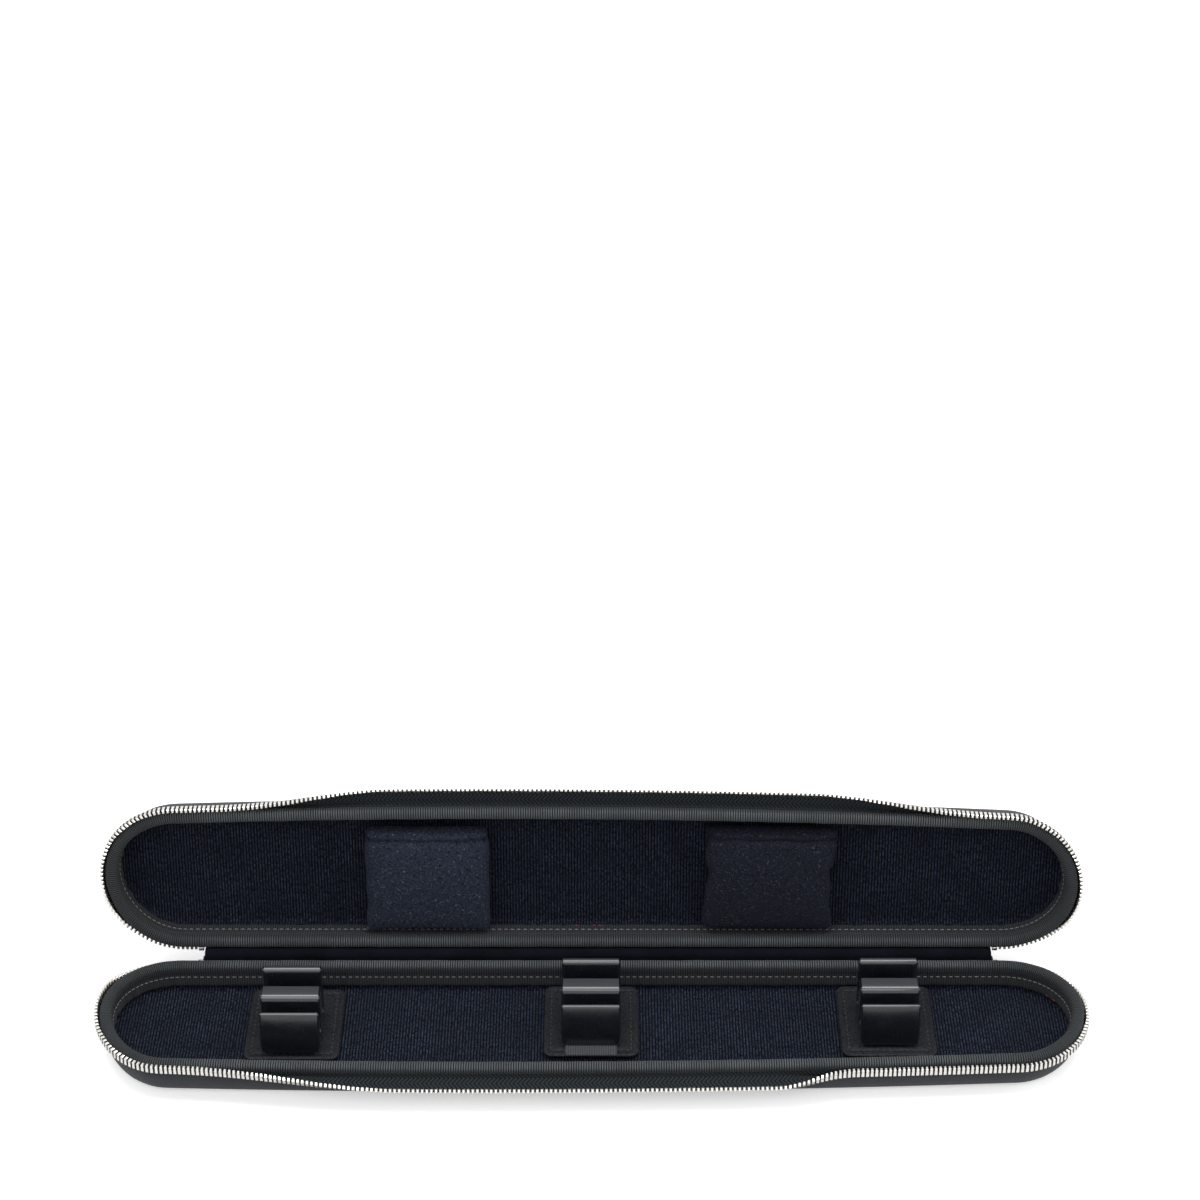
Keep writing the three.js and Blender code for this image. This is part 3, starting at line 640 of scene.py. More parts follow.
def clip_paint():
    """Glossy black moulded plastic with light handling marks, and satin flat tops whose colour is
    painted paler, as painted light from the lamps overhead.
    """
    paint = Paint("Moulded plastic", 0.22, Coat_Roughness=0.12)
    at = paint.object()
    rub = paint.use(scuffs, at, Size=9.0)
    facing = node(paint.tree, "ShaderNodeTexCoord").outputs["Normal"]
    satin_and_top_light = remap(paint.tree, axis(paint.tree, facing, 2), 0.93, 1.0)
    gloss = paint.mix(rub["Rub"], "14171b", "191c21")
    # Up-facing tops painted paler: painted light. The same mask also makes them satin, by coat and
    # roughness
    paint.set("Base Color", paint.mix(satin_and_top_light, gloss, "2a2c30"))
    paint.set("Coat Weight", paint.calc("MULTIPLY_ADD", satin_and_top_light, -0.7, 0.8))
    roughness = paint.calc("MULTIPLY_ADD", satin_and_top_light, 0.3, 0.22)
    for mask, more in ((rub["Scratch"], 0.12), (rub["Rub"], 0.05)):
        roughness = paint.calc("MULTIPLY_ADD", mask, more, roughness)
    paint.set("Roughness", roughness)
    fine = paint.use(fuzz, at, Size=0.8)["Height"]
    return paint.bump((fine, 0.012), (rub["Scratch"], 0.008))


def terry_paint(name, loop_tone, gap_tone, end_tone):
    """Navy terry towelling."""
    paint = Paint(name, 1.0, Sheen_Weight=0.2, Sheen_Roughness=0.6,
                  Sheen_Tint=colour("4c5268"), Specular_IOR_Level=0.12)
    return paint.grained(paint.object(), (loops, 0.75, {"Size": 0.9, "Flow": 0.6}),
                         (loop_tone, gap_tone), (0.7, 1.3), (0.9, 0.8, end_tone),
                         drift=(0.35, "1a1e29"))


def board_paint():
    """Brown stiffening board with a fibrous face."""
    paint = Paint("Fibre board", 0.9)
    return paint.bump((paint.fibres(paint.object(), 0.8, "84745a", 1.0, "5a4d3a"), 0.1))


lining_finish, painted_shade_velour_finish = velour_paint(), painted_shade_velour_paint()
binding_finish, shell_finish = binding_paint(), shell_paint()
tape_finish, tooth_finish, slider_finish = tape_paint(), tooth_paint(), slider_paint()
leather_finish, webbing_finish, hook_finish = leather_paint(), webbing_paint(), hook_paint()
clip_finish, board_finish = clip_paint(), board_paint()
# The right cushion's towelling is given darker tones than the left's
terry_finishes = {"left": terry_paint("Terry towelling", "2a303e", "06080c", "7a849c"),
                  "right": terry_paint("Darker terry towelling", "191c24", "040509", "5e667b")}
cord_finish = thread_paint("Brown cord", "1c1410", "38302c")
thread_finish = thread_paint("Grey thread", "6e7272", "8a8e8e")
dark_thread_finish = thread_paint("Black thread", "141517", "303133")
red_thread_finish = thread_paint("Red thread", "7a1f1c", "963b38")


# Shells and linings, drawn from their floors' middle lines out to the rim and back. The
# tray's lining has a pressed groove in the shape of the batons' bay
groove_middle_y, groove_radius, groove_reach = 1.85, 12.75, 192.25
groove_width, groove_depth = 0.9, 0.5


def floor_rows(half, s, share, inset, height, count, grooved=False):
    """Plan rows from the middle line of a floor out to its edge, and how deep each row lies."""
    x, y, nx, ny = rim_point(half, s, -inset)
    round_end = np.where(np.abs(share) == 1, nx, 0)
    level = height + 0 * s

    def ring(r, dip=0.0):
        return share * groove_reach + round_end * r, groove_middle_y + ny * r, level - dip

    def out_to_edge(from_x, from_y, steps):
        return [(between(from_x, x, t), between(from_y, y, t), level) for t in steps]

    steps = np.linspace(0, 1, count, endpoint=False)
    if not grooved:
        return out_to_edge(share * arc_centre_x, 0.0, steps)
    rows = [ring((groove_radius - groove_width) * t)
            for t in np.linspace(0, 1, 6, endpoint=False)]
    rows += [ring(groove_radius + groove_width * u,
                  groove_depth * math.exp(-4 * u * u) * (1 - abs(u) ** 6))
             for u in np.linspace(-1, 1, 9)]
    return rows + out_to_edge(*ring(groove_radius + groove_width)[:2], steps[1:])


def moulding(name, half, section, outer_rows, inner_rows, grooved=False, ripple=0.0):
    """A dished piece. section is (inset, height) from the outer floor's edge, over the top
    and down to the inner floor's edge."""
    s, share = even_stations(arc_count=44, line_count=150)
    first, last = section[0], section[-1]
    rise = girths(np.array(section))
    top = int(np.argmax([h for _, h in section]))
    rows = [(x, y, h, x, y) for x, y, h in floor_rows(half, s, share, *first, outer_rows)]
    for k, (inset, h) in enumerate(section):
        base, out = (first[0], rise[k]) if k <= top else (last[0], rise[-1] - rise[k])
        wave = ripple * loop_noise(s, (23, 37, 61), inset) * min(1.0, out / 4)
        x, y, nx, ny = rim_point(half, s, -inset - wave)
        base_x, base_y, _, _ = rim_point(half, s, -base)
        rows.append((x, y, h + 0 * s, base_x + nx * out, base_y + ny * out))
    inner = floor_rows(half, s, share, *last, inner_rows, grooved)
    rows += [(x, y, h, x, y) for x, y, h in reversed(inner)]
    x, y, h, u, v = (np.stack(values, axis=1) for values in zip(*rows))
    return grid_piece(name, half.place(x, y, h), together(u, v), loop_rows=True)


def round_corner(inset, height, radius, count):
    """A quarter round from a floor up to a wall, for falling insets."""
    return [(inset + radius * (1 - math.sin(t)), height + radius * (1 - math.cos(t)))
            for t in np.linspace(0, math.pi / 2, count)]


def shell_section(half):
    inner = round_corner(shell_inset + shell_wall + wall_draft, half.floor, 3.0, 4)
    return [*round_corner(shell_inset + wall_draft, 0.0, shell_edge_radius, 12),
            (shell_inset, wall_top), (shell_inset + shell_wall, wall_top), *reversed(inner)]


def lining_section(half):
    face = lining_inset + lining_thickness
    inner = round_corner(face + wall_draft, half.lining_floor, lining_corner_radius, 8)
    outer = round_corner(lining_inset + wall_draft, half.lining_level, 2.6, 4)
    walls = [(face + wall_draft * t, between(wall_top, inner[-1][1], t))
             for t in np.linspace(0, 1, 5, endpoint=False)]
    return [*outer, (lining_inset, wall_top), *walls, *reversed(inner)]


for half in (tray, lid):
    shell = moulding(f"{half.name}_shell_cloth", half, shell_section(half), outer_rows=8,
                     inner_rows=3)
    wear_of(shell, half.name, f"{half.name}_shell", slot="shell", paint=shell_finish)
    lining = moulding(f"{half.name}_velour", half, lining_section(half), outer_rows=3,
                      inner_rows=8, grooved=half is tray, ripple=0.12)
    wear_of(lining, half.name, f"{half.name}_lining", slot="lining", paint=lining_finish)


# Binding tape: a padded roll over the rim and a long stitched flap inside it
stitch_pitch = 3.1
stitch_length = 1.9
flap_start, flap_bulge = 3.4, 10.4


def binding_sections(half, s):
    """The tape's section at each station: outer flank, roll, inner flap and back again. Each
    row has a distance out from the rim's face and a depth below its top."""
    width = flap_inset + binding_thickness
    swell = 0.16 * loop_noise(s, (31, 47, 83), half.seed)
    slow = loop_noise(s, (9, 15, 22), half.seed + 0.9)
    cx, _, _, nx, _ = rim_frame(s)
    bunch = 0.22 + 0.38 * np.abs(nx) * (np.abs(cx) > 1)
    pucker = loop_noise(s, (71, 113, 157), half.seed + 0.4)
    folds = pucker * bunch
    pull = 0.16 + 0.1 * np.cos(2 * math.pi * s / stitch_pitch)
    rise = half.flap_seam - flap_start
    rows = [(-0.15, binding_flank), (0.02 + 0.05 * slow, binding_flank - 0.25),
            (0.06 * slow, binding_flank - 0.8)]
    for t in np.linspace(math.pi, 0, 17):
        c = math.cos(t)
        rows.append((-width / 2 * (1 + math.copysign(abs(c) ** 0.9, c)) - 0.6 * swell * c,
                     binding_roll * (1 - math.sin(t) ** 0.85) - 0.5 * swell * math.sin(t)))
    rows += [(-width - 0.22 - 0.1 * slow, flap_start),
             (-width - 0.1 - 0.1 * slow, flap_start + 0.27 * rise),
             (-width + 0.2, flap_start + 0.47 * rise),
             (-width + 0.05 - 0.12 * pucker, flap_start + 0.65 * rise),
             (-width - 0.12 - 0.22 * folds, flap_start + 0.82 * rise),
             (-width - 0.22 + pull * 1.3 - 0.2 * folds, half.flap_seam),
             (-width - 0.4 - 0.5 * folds, half.flap_seam + 0.9),
             (-width - 0.62 - 0.9 * folds, flap_bulge),
             (-width - wall_draft - 1.1 * folds, binding_flap - 0.2 + 0.15 * slow),
             (-width - 0.55 - 0.9 * np.maximum(folds, -0.1), binding_flap + 0.1 * slow),
             (-flap_inset - wall_draft, binding_flap - 0.1),
             (-flap_inset, binding_roll + 0.6),
             (-binding_thickness - 0.1, binding_roll + 0.6),
             (-binding_thickness - 0.1, binding_flank - 0.15)]
    return np.stack([together(out + 0 * s, half_height - down + 0 * s)
                     for out, down in rows], axis=1)


for half in (tray, lid):
    along = closed_stations(stitch_pitch / 3)
    tape = sweep(f"{half.name}_bound_rim", half, along, binding_sections(half, along), True)
    wear_of(tape, half.name, f"{half.name}_binding", slot="binding", paint=binding_finish)


# Sewing
def stitches(name, centres, forwards, ups, length=stitch_length, radius=0.24, sides=6):
    """One piece of many stitches, each a short capsule of thread at a centre, with a forward
    and an up direction. Its ends are drawn down to the needle holes."""
    profile = [(-0.5, 0.35, -0.6), (-0.36, 0.85, 0.1), (-0.12, 1.0, 0.35)]
    profile += [(-at, wide, lift) for at, wide, lift in reversed(profile)]
    turns = np.arange(sides) * 2 * math.pi / sides
    shape = np.concatenate([
        together(np.full(sides, at * length), radius * wide * np.cos(turns),
                 radius * (lift + wide * 0.8 * np.sin(turns)))
        for at, wide, lift in profile])
    last = len(shape) - sides
    faces = [[r + k, r + (k + 1) % sides, r + sides + (k + 1) % sides, r + sides + k]
             for r in range(0, last, sides) for k in range(sides)]
    faces += [list(range(sides))[::-1], list(range(last, last + sides))]
    basis = np.stack([forwards, np.cross(ups, forwards), ups], axis=1)
    points = centres[:, None, :] + np.einsum("pk,nkc->npc", shape, basis)
    every = [[corner + n * len(shape) for corner in face] for n in range(len(centres))
             for face in faces]
    return face_outwards(new_object(name, points, every))


def flap_stitches(name, half, s, down, lift, paint):
    """Stitches at distances s round the rim, on the inner face of the binding's flap."""
    out = -flap_inset - binding_thickness - lift
    x, y, nx, ny = rim_point(half, s, out)
    ahead, behind = (half.place(*rim_point(half, s + step, out)[:2], 0.0)
                     for step in (0.2, -0.2))
    seam = stitches(name, half.place(x, y, half_height - down), unit(ahead - behind),
                    unit(half.turn(-nx, -ny, 0.1)))
    wear_of(seam, half.name, slot="binding", paint=paint)


seam_stations = (np.arange(int(rim_run / stitch_pitch)) + 0.5) * stitch_pitch
seam_lift = 0.12
stray_depth, stray_lift = 10.7, 1.0
back_middle = rim_run - back_run / 2
stray_stations = {"tray": np.array([30.0, 35.5]), "lid": back_middle + np.array([-7.5, 1.0, 3.6])}
for half in (tray, lid):
    flap_stitches(f"{half.name}_flap_stitches", half, seam_stations, half.flap_seam, seam_lift,
                  thread_finish)
    flap_stitches(f"{half.name}_stray_stitches", half, stray_stations[half.name], stray_depth,
                  stray_lift, red_thread_finish)


# Zip: a folded tape with a corded edge, and separate teeth crimped on the cord
tape_thickness = 0.9
tape_end_width = 3.4
tape_end_turn, tooth_end_turn = math.radians(55), math.radians(90)
tape_middle_drop = 6.0
tape_hinge_drop = 9.6
climb_start, climb_end = 0.95, 0.35
tape_end_gap = 1.0
rail_end_gap = 3.9
tape_step = 1.6
cord_radius, cord_trim = 0.55, 3
tooth_pitch = 2.1
tooth_foot = (1.3 * MM, 1.85 * MM, 1.5 * MM)
tooth_steps = ((0.4, 0.9, 0.9), (1.1, 1.0, 1.0), (0.5, 1.12, 1.05), (0.32, 0.6, 0.72))


def zip_ends(gap):
    """Distances where the zip starts and ends, a gap beside the cloth hinge."""
    right = cloth_high[0] + gap
    left = cloth_low[0] - gap
    return right - arc_centre_x, 2 * arc_run + front_run + (left + arc_centre_x)


def front_share(half, s):
    """0 round the ends, rising smoothly to 1 along the middle of the front."""
    along = 2 * (s - arc_run) / front_run - 1
    start, full = (np.where(along > 0, left, right) for left, right in zip(*half.flares))
    return smooth((start - np.abs(along)) / (start - full))


def zip_line(half, s):
    """Root and tip of the tape, and the directions of the tape and of the teeth."""
    share = front_share(half, s)
    _, _, _, nx, ny = rim_frame(s)
    climb = smooth((climb_start - ny) / (climb_start - climb_end))
    end_drop = between(tape_hinge_drop, np.where(nx < 0, *half.end_drops), climb)
    drop = between(end_drop, tape_middle_drop, share)
    width = between(tape_end_width, half.tape_width, share)
    root = together(tape_thickness / 2 - shell_inset + 0.3 + 0 * s, half_height - drop)
    turns = (between(tape_end_turn, half.tape_angle, share),
             between(tooth_end_turn, half.tooth_angle, share))
    along, tooth_way = (together(np.cos(turn), np.sin(turn)) for turn in turns)
    return root, root + along * width[:, None], along, tooth_way


def tape_sections(half, s):
    """Down from under the binding, round the fold at the root, and out to the corded edge."""
    root, tip, along, _ = zip_line(half, s)
    under = 0 * root + (-0.42, half_height - binding_flank - 0.1)
    hem = root + (-0.05, 0.3)
    spine = [under, (under + hem) / 2, hem, root + (0.1, -0.15)]
    spine += [between(root, tip, t) for t in (0.25, 0.5, 0.75, 0.9)]
    spine = np.stack([*spine, tip + along * 0.35], axis=1)
    ahead = np.gradient(spine, axis=1)
    side = unit(np.stack([-ahead[..., 1], ahead[..., 0]], axis=-1))
    half_wide = np.array([0.3, 0.32, 0.34, 0.36, 0.38, 0.38, 0.4, 0.55, 0.62])[:, None]
    upper, lower = spine + side * half_wide, spine - side * half_wide
    tail = spine[:, -1:] + unit(ahead[:, -1:]) * 0.45
    return np.concatenate([upper, tail, lower[:, ::-1]], axis=1)


def cord_sections(half, s):
    """The tape's dark edge cord, inside the teeth's crimped feet."""
    _, tip, _, way = zip_line(half, s)
    turns = np.arange(8) * math.pi / 4
    ring = cord_radius * together(np.cos(turns), np.sin(turns))
    return (tip + way * 0.3)[:, None, :] + ring


def tooth_model():
    """One tooth, modelled on its own: a crimped foot, a bar and a rounded head, raised from
    the foot's top by steps of height, width and thickness."""
    bpy.ops.object.select_all(action="DESELECT")
    bpy.ops.mesh.primitive_cube_add(size=1.0, location=(0.0, 0.0, 0.0))
    tooth = adjusted(bpy.context.object, scale=tooth_foot)
    bpy.ops.object.transform_apply(location=False, rotation=False, scale=True)
    tooth.data.transform(Matrix.Translation((0.0, 0.0, 0.35 * MM)))
    bpy.ops.object.mode_set(mode="EDIT")
    bpy.ops.mesh.select_mode(type="FACE")
    bpy.ops.mesh.select_all(action="DESELECT")
    mesh = bmesh.from_edit_mesh(tooth.data)
    max(mesh.faces, key=lambda face: face.calc_center_median().z).select_set(True)
    bmesh.update_edit_mesh(tooth.data)
    for rise, wide, thick in tooth_steps:
        bpy.ops.mesh.extrude_region_move(TRANSFORM_OT_translate={"value": (0, 0, rise * MM)})
        bpy.ops.transform.resize(value=(wide, thick, 1.0))
    bpy.ops.object.mode_set(mode="OBJECT")
    return tooth


def teeth(half):
    """Copies of the one tooth along the tape's edge, leaning a little this way and that."""
    start, end = zip_ends(rail_end_gap)
    count = int((end - start) / tooth_pitch)
    s = start + (np.arange(count) + 0.5) * (end - start) / count
    _, tip, _, way = zip_line(half, s)
    foot = tip + way * 0.1
    x, y, nx, ny = rim_point(half, s, foot[:, 0])
    centres = half.place(x, y, foot[:, 1]) * MM
    ups = unit(half.turn(nx * way[:, 0], ny * way[:, 0], way[:, 1]))
    forwards = unit(half.turn(-ny, nx, 0.0))
    sides = np.cross(ups, forwards)
    leaning = unit(ups + 0.02 * np.sin(7.1 * np.arange(count))[:, None] * sides)
    model = tooth_model()
    copies = []
    for centre, *columns in zip(centres, forwards, sides, leaning):
        basis = Matrix(np.stack(columns, axis=1).tolist()).to_4x4()
        copy = linked("tooth", model.data.copy())
        copy.data.transform(Matrix.Translation(Vector(centre)) @ basis)
        copies.append(copy)
    select_only(*copies)
    bpy.ops.object.join()
    row = copies[0]
    row.name = row.data.name = f"{half.name}_teeth"
    bpy.data.objects.remove(model)
    return row


for half in (tray, lid):
    start, end = zip_ends(tape_end_gap)
    along = np.linspace(start, end, int((end - start) / tape_step))
    tape = sweep(f"{half.name}_zip_cloth", half, along, tape_sections(half, along), False)
    wear_of(tape, half.name, f"{half.name}_zip_tape", slot="zip_tape", paint=tape_finish)
    along = along[(along > start + cord_trim) & (along < end - cord_trim)]
    cord = sweep(f"{half.name}_zip_cord", half, along, cord_sections(half, along), False)
    wear_of(cord, half.name, slot="zip_tape", paint=cord_finish)
    row = teeth(half)
    smooth_by_angle(row, 35)
    wear_of(row, half.name, f"{half.name}_zip_teeth", slot="zip_metal", paint=tooth_finish)


# Copies of CAD nodes with their sharp edges rounded
def rounded_copy(node_name, name, radius, body, slot, paint, angle=25):
    copy = linked(name, frame["nodes"][node_name].data.copy())
    mesh = bmesh.new()
    mesh.from_mesh(copy.data)
    bmesh.ops.remove_doubles(mesh, verts=mesh.verts, dist=1e-6)
    bmesh.ops.dissolve_limit(mesh, angle_limit=math.radians(1.5), verts=mesh.verts,
                             edges=mesh.edges)
    mesh.to_mesh(copy.data)
    mesh.free()
    adjusted(copy.modifiers.new("Rounded edges", "BEVEL"), width=radius * MM, segments=3,
             limit_method="ANGLE", angle_limit=math.radians(angle), use_clamp_overlap=True)
    apply_modifiers(copy)
    smooth_by_angle(copy, 50)
    wear_of(copy, body, node_name, slot=slot, paint=paint)


for side in ("left", "right"):
    rounded_copy(f"zip_slider_{side}", f"slider_{side}_body", 0.35, f"slider_{side}", "slider",
                 slider_finish)
    rounded_copy(f"zip_pull_{side}", f"slider_{side}_pull", 0.3, f"pull_{side}", "slider",
                 slider_finish)
    for half in (tray, lid):
        rounded_copy(f"{half.name}_zip_stop_{side}", f"{half.name}_stop_{side}", 0.4, half.name,
                     "zip_metal", tooth_finish)
for place_name in ("left", "middle", "right"):
    rounded_copy(f"holder_clip_{place_name}", f"clip_{place_name}", 0.45,
                 f"holder_{place_name}", "clip", clip_finish, angle=30)
frame["nodes"]["tray_board"].data.materials.clear()
frame["nodes"]["tray_board"].data.materials.append(board_finish)


# Flat sewn pieces: rounded slabs of leather cloth, webbing and hook tape
patch_corner, patch_seam_inset, patch_seam_sink = 4.0, 3.4, 0.12
patch_stitch_pitch, patch_stitch_length, patch_stitch_radius = 2.9, 1.7, 0.26


def rounded_outline(box, corner, inset):
    """Points round a box's plan with round corners, drawn in by inset."""
    r = max(corner - inset, 0.25)
    (x0, y0), (x1, y1) = box[0][:2] + (inset + r), box[1][:2] - (inset + r)
    corners = []
    for k, (cx, cy) in enumerate(((x1, y1), (x0, y1), (x0, y0), (x1, y0))):
        t = np.linspace(0, math.pi / 2, 8) + k * math.pi / 2
        corners.append(together(cx + r * np.cos(t), cy + r * np.sin(t)))
    ring = []
    for points, after in zip(corners, corners[1:] + corners[:1]):
        ring.extend(points)
        ring.extend(between(points[-1], after[0], t) for t in np.linspace(0, 1, 18)[1:-1])
    return np.array(ring)


def slab(name, box, corner, edge, dips=()):
    """A flat piece in its node's box. dips are (distance from the edge, depth, width)."""
    low, high = box
    middle = (low + high)[:2] / 2
    thick = high[2] - low[2]

    def towards_middle(ring, shares, level):
        return [(between(middle, ring, t), level) for t in shares]

    rows = towards_middle(rounded_outline(box, corner, edge), (0.0, 0.5), low[2])
    for t in np.radians(np.linspace(-90, 90, 9)):
        rows.append((rounded_outline(box, corner, edge * (1 - math.cos(t))),
                     low[2] + thick / 2 * (1 + math.sin(t))))
    insets = {edge + 0.4, 6.0, 8.0} | {at + k * wide / 2 for at, _, wide in dips
                                       for k in (-2, -1, 0, 1, 2)}
    for inset in sorted(insets):
        down = sum(depth * math.exp(-((inset - at) / (wide / 2)) ** 2) for at, depth, wide in dips)
        rows.append((rounded_outline(box, corner, inset), high[2] - down))
    rows += towards_middle(rows[-1][0], (0.6, 0.3, 0.0), high[2])
    points = np.stack([np.concatenate([ring, np.full((len(ring), 1), z)], axis=1)
                       for ring, z in rows], axis=1)
    return grid_piece(name, points, points[..., :2].copy(), loop_rows=True)


def patch_seam(name, box, body):
    """Stitches round a patch's top, a distance in from its edge."""
    ring = rounded_outline(box, patch_corner, patch_seam_inset)
    closed = np.concatenate([ring, ring[:1]])
    run = girths(closed)
    count = int(run[-1] / patch_stitch_pitch)
    at = (np.arange(count) + 0.5) / count * run[-1]

    def along(distance):
        distance = np.mod(distance, run[-1])
        return np.stack([np.interp(distance, run, closed[:, 0]),
                         np.interp(distance, run, closed[:, 1]),
                         0 * distance + box[1][2] - patch_seam_sink], -1)

    seam = stitches(name, along(at), unit(along(at + 0.2) - along(at - 0.2)),
                    np.tile([0.0, 0.0, 1.0], (count, 1)), patch_stitch_length,
                    patch_stitch_radius)
    wear_of(seam, body, slot="leather", paint=dark_thread_finish)


# Node, name, radius of corners and of edges, dips, slot and material
flat_pieces = (("hook", "hook_tape", 2.0, 0.3, (), "hook", hook_finish),
               ("patch", "patch", patch_corner, 0.6, ((patch_seam_inset, 0.3, 1.5),), "leather",
                leather_finish),
               ("strap", "webbing", 1.2, 0.5, (), "webbing", webbing_finish))
for place_name in ("left", "middle", "right"):
    body = f"holder_{place_name}"
    for kind, name, corner, edge, dips, slot, paint in flat_pieces:
        node_name = f"holder_{kind}_{place_name}"
        piece = slab(f"{name}_{place_name}", node_box(node_name), corner, edge, dips)
        wear_of(piece, body, node_name, slot=slot, paint=paint)
        if kind == "patch":
            patch_seam(f"patch_{place_name}_stitches", node_box(node_name), body)


# Cloth hinge: one strip from the tray's back wall, past both bindings, to the lid's
hinge_cloth_rise = 0.95 / 2
hinge_cloth_ease = 0.3


def hinge_strip():
    """The strip, folded at rest over its middle line in Y and Z, which is given in each half
    by distances out from the back's middle radius and heights."""
    outer = hinge_cloth_ease + hinge_cloth_rise
    inner = outer - shell_inset
    wall = [(inner, 10.7), (inner, 13.2), (inner, 16.0), (inner + 0.25, 17.2),
            (outer - 0.1, 18.3), (outer, 19.2), (outer, 20.4), (outer, 21.6), (outer, 22.6)]
    tray_side, lid_side = ([half.place(0.0, end_radius + out, h)[1:] for out, h in wall]
                           for half in (tray, lid))
    a, b = tray_side[-1], lid_side[-1]
    corner = np.array([a[0], b[1]])
    fold = [(1 - t) ** 2 * a + 2 * t * (1 - t) * corner + t * t * b
            for t in np.linspace(0, 1, 13)[1:-1]]
    line = np.array([*tray_side, *fold, *lid_side[::-1]])
    ahead = unit(np.gradient(line, axis=0))
    side = np.stack([-ahead[:, 1], ahead[:, 0]], axis=-1)
    thin = hinge_cloth_rise - 0.02
    x = np.linspace(cloth_low[0], cloth_high[0], 190)
    run = girths(line)
    loose = np.exp(-((run - run[-1] / 2) / 2.2) ** 2)[:, None] * side
    ripple = 0.22 * np.sin(x / 5.3 + 1.1) + 0.16 * np.sin(x / 11.7 + 0.3) + 0.1 * np.sin(x / 2.9)
    section = np.concatenate([line + side * thin, (line - side * thin)[::-1]])
    lift = np.concatenate([loose, loose[::-1]])
    around = np.concatenate([run, run[::-1] + run[-1]])
    yz = section + ripple[:, None, None] * lift
    across, around = np.broadcast_arrays(x[:, None], around)
    points = np.concatenate([across[..., None], yz], axis=-1)
    strip = grid_piece("cloth_hinge", points, together(across, around),
                       loop_columns=True, caps=True)
    return strip, run[-1], a, b


cloth_strip, cloth_run, cloth_from, cloth_to = hinge_strip()
# The hinge strip wears the velour in painted shade
cloth_strip.data.materials.append(painted_shade_velour_finish)
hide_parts("tray_hinge_cloth", "lid_hinge_cloth")
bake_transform(cloth_strip)


# Terry cushions: a puffed form, then loops raised over it
pad_height, pad_thickness = 55.5, 15.2
pad_seam_drop = 5.0
terry_pads = {"left": (60.8, 0.0), "right": (63.5, math.radians(1.2))}
pad_backing, pad_pull = 0.9, 1.4
puff_frames, puff_reach = 16, 1.6
puff_cloth = {"use_pressure": True, "uniform_pressure_force": 3.0, "tension_stiffness": 25,
              "compression_stiffness": 15, "shear_stiffness": 10}


def pad_frame(side):
    """The cushion's middle on its hook pad, and its directions: across, up the lid, outwards."""
    width, turn = terry_pads[side]
    low, high = node_box(f"pad_hook_{side}")
    c, s = math.cos(turn), math.sin(turn)
    axes = np.array([lid.turn(*way) for way in ((c, s, 0.0), (s, -c, 0.0), (0.0, 0.0, 1.0))])
    return width, (low + high) / 2 + axes[2] * pad_backing, axes


def cushion(side):
    """A cushion, flat on its back: a pillow swelling to the front, with a sewn hem at the
    top. Points are across, up and out."""
    width, base, axes = pad_frame(side)
    across = np.sin(np.linspace(-1, 1, 57) * math.pi / 2)
    u, v = np.meshgrid(across, across, indexing="ij")
    x = width / 2 * u * (1 - pad_pull * (1 - v * v) * u * u / width)
    y = pad_height / 2 * v * (1 - pad_pull * (1 - u * u) * v * v / pad_height)
    edge = (1 - np.abs(u) ** 9) * (1 - np.abs(v) ** 9)
    crown = pad_thickness - 2.2 + 2.2 * (1 - u * u) * (1 - v * v)
    hollow = 0.5 * np.exp(-((x - 6) / 9) ** 2 - ((y + 12) / 7) ** 2)
    front = between(pad_thickness * 0.76, crown - hollow, edge ** 0.5)
    back = pad_thickness * 0.5 * (1 - edge ** 0.35)
    local = np.stack([together(x, y, face) for face in (front, back)])
    n = len(across)
    corners = (np.arange(n - 1)[:, None] * n + np.arange(n - 1)).ravel()
    quads = corners[:, None] + (0, n, n + 1, 1)
    faces = [*quads.tolist(), *(quads[:, ::-1] + n * n).tolist()]
    points = base + np.einsum("...k,kc->...c", local, axes)
    return face_outwards(new_object(f"cushion_{side}", points, faces)), base, axes


def puff(pad):
    """Swells a cushion with Blender's cloth, each point kept within reach of its start."""
    adjusted(pad.modifiers.new("Even faces", "REMESH"), mode="VOXEL", voxel_size=3.2 * MM)
    apply_modifiers(pad)
    start = np.array([v.co for v in pad.data.vertices])
    cloth = pad.modifiers.new("Swelling", "CLOTH")
    adjusted(cloth.settings, **puff_cloth)
    cloth.settings.effector_weights.gravity = 0.0
    adjusted(cloth.point_cache, frame_start=1, frame_end=puff_frames)
    for step in range(1, puff_frames + 1):
        bpy.context.scene.frame_set(step)
    swollen = pad.evaluated_get(bpy.context.evaluated_depsgraph_get())
    moved = np.array([v.co for v in swollen.data.vertices]) - start
    pad.modifiers.remove(cloth)
    bpy.context.scene.frame_set(1)
    far = np.linalg.norm(moved, axis=1, keepdims=True)
    held = start + moved * np.minimum(1.0, puff_reach * MM / np.maximum(far, 1e-9))
    pad.data.vertices.foreach_set("co", held.astype(np.float32).ravel())


def loop_cells(points, size):
    """0 at a loop's middle to about 1 between loops, from seeded points on a jittered grid."""
    best = np.full(len(points), 9.0)
    for shift in np.ndindex(3, 3, 3):
        cell = np.floor(points / size).astype(int) + np.array(shift) - 1
        key = cell[:, 0] * 73856093 ^ cell[:, 1] * 19349663 ^ cell[:, 2] * 83492791
        jitter = together(*(((key * m) % 10007) / 10007 for m in (7919, 104729, 1299709)))
        seed = (cell + 0.2 + 0.6 * jitter) * size
        best = np.minimum(best, np.linalg.norm(points - seed, axis=1) / size)
    return np.clip(best, 0, 1)


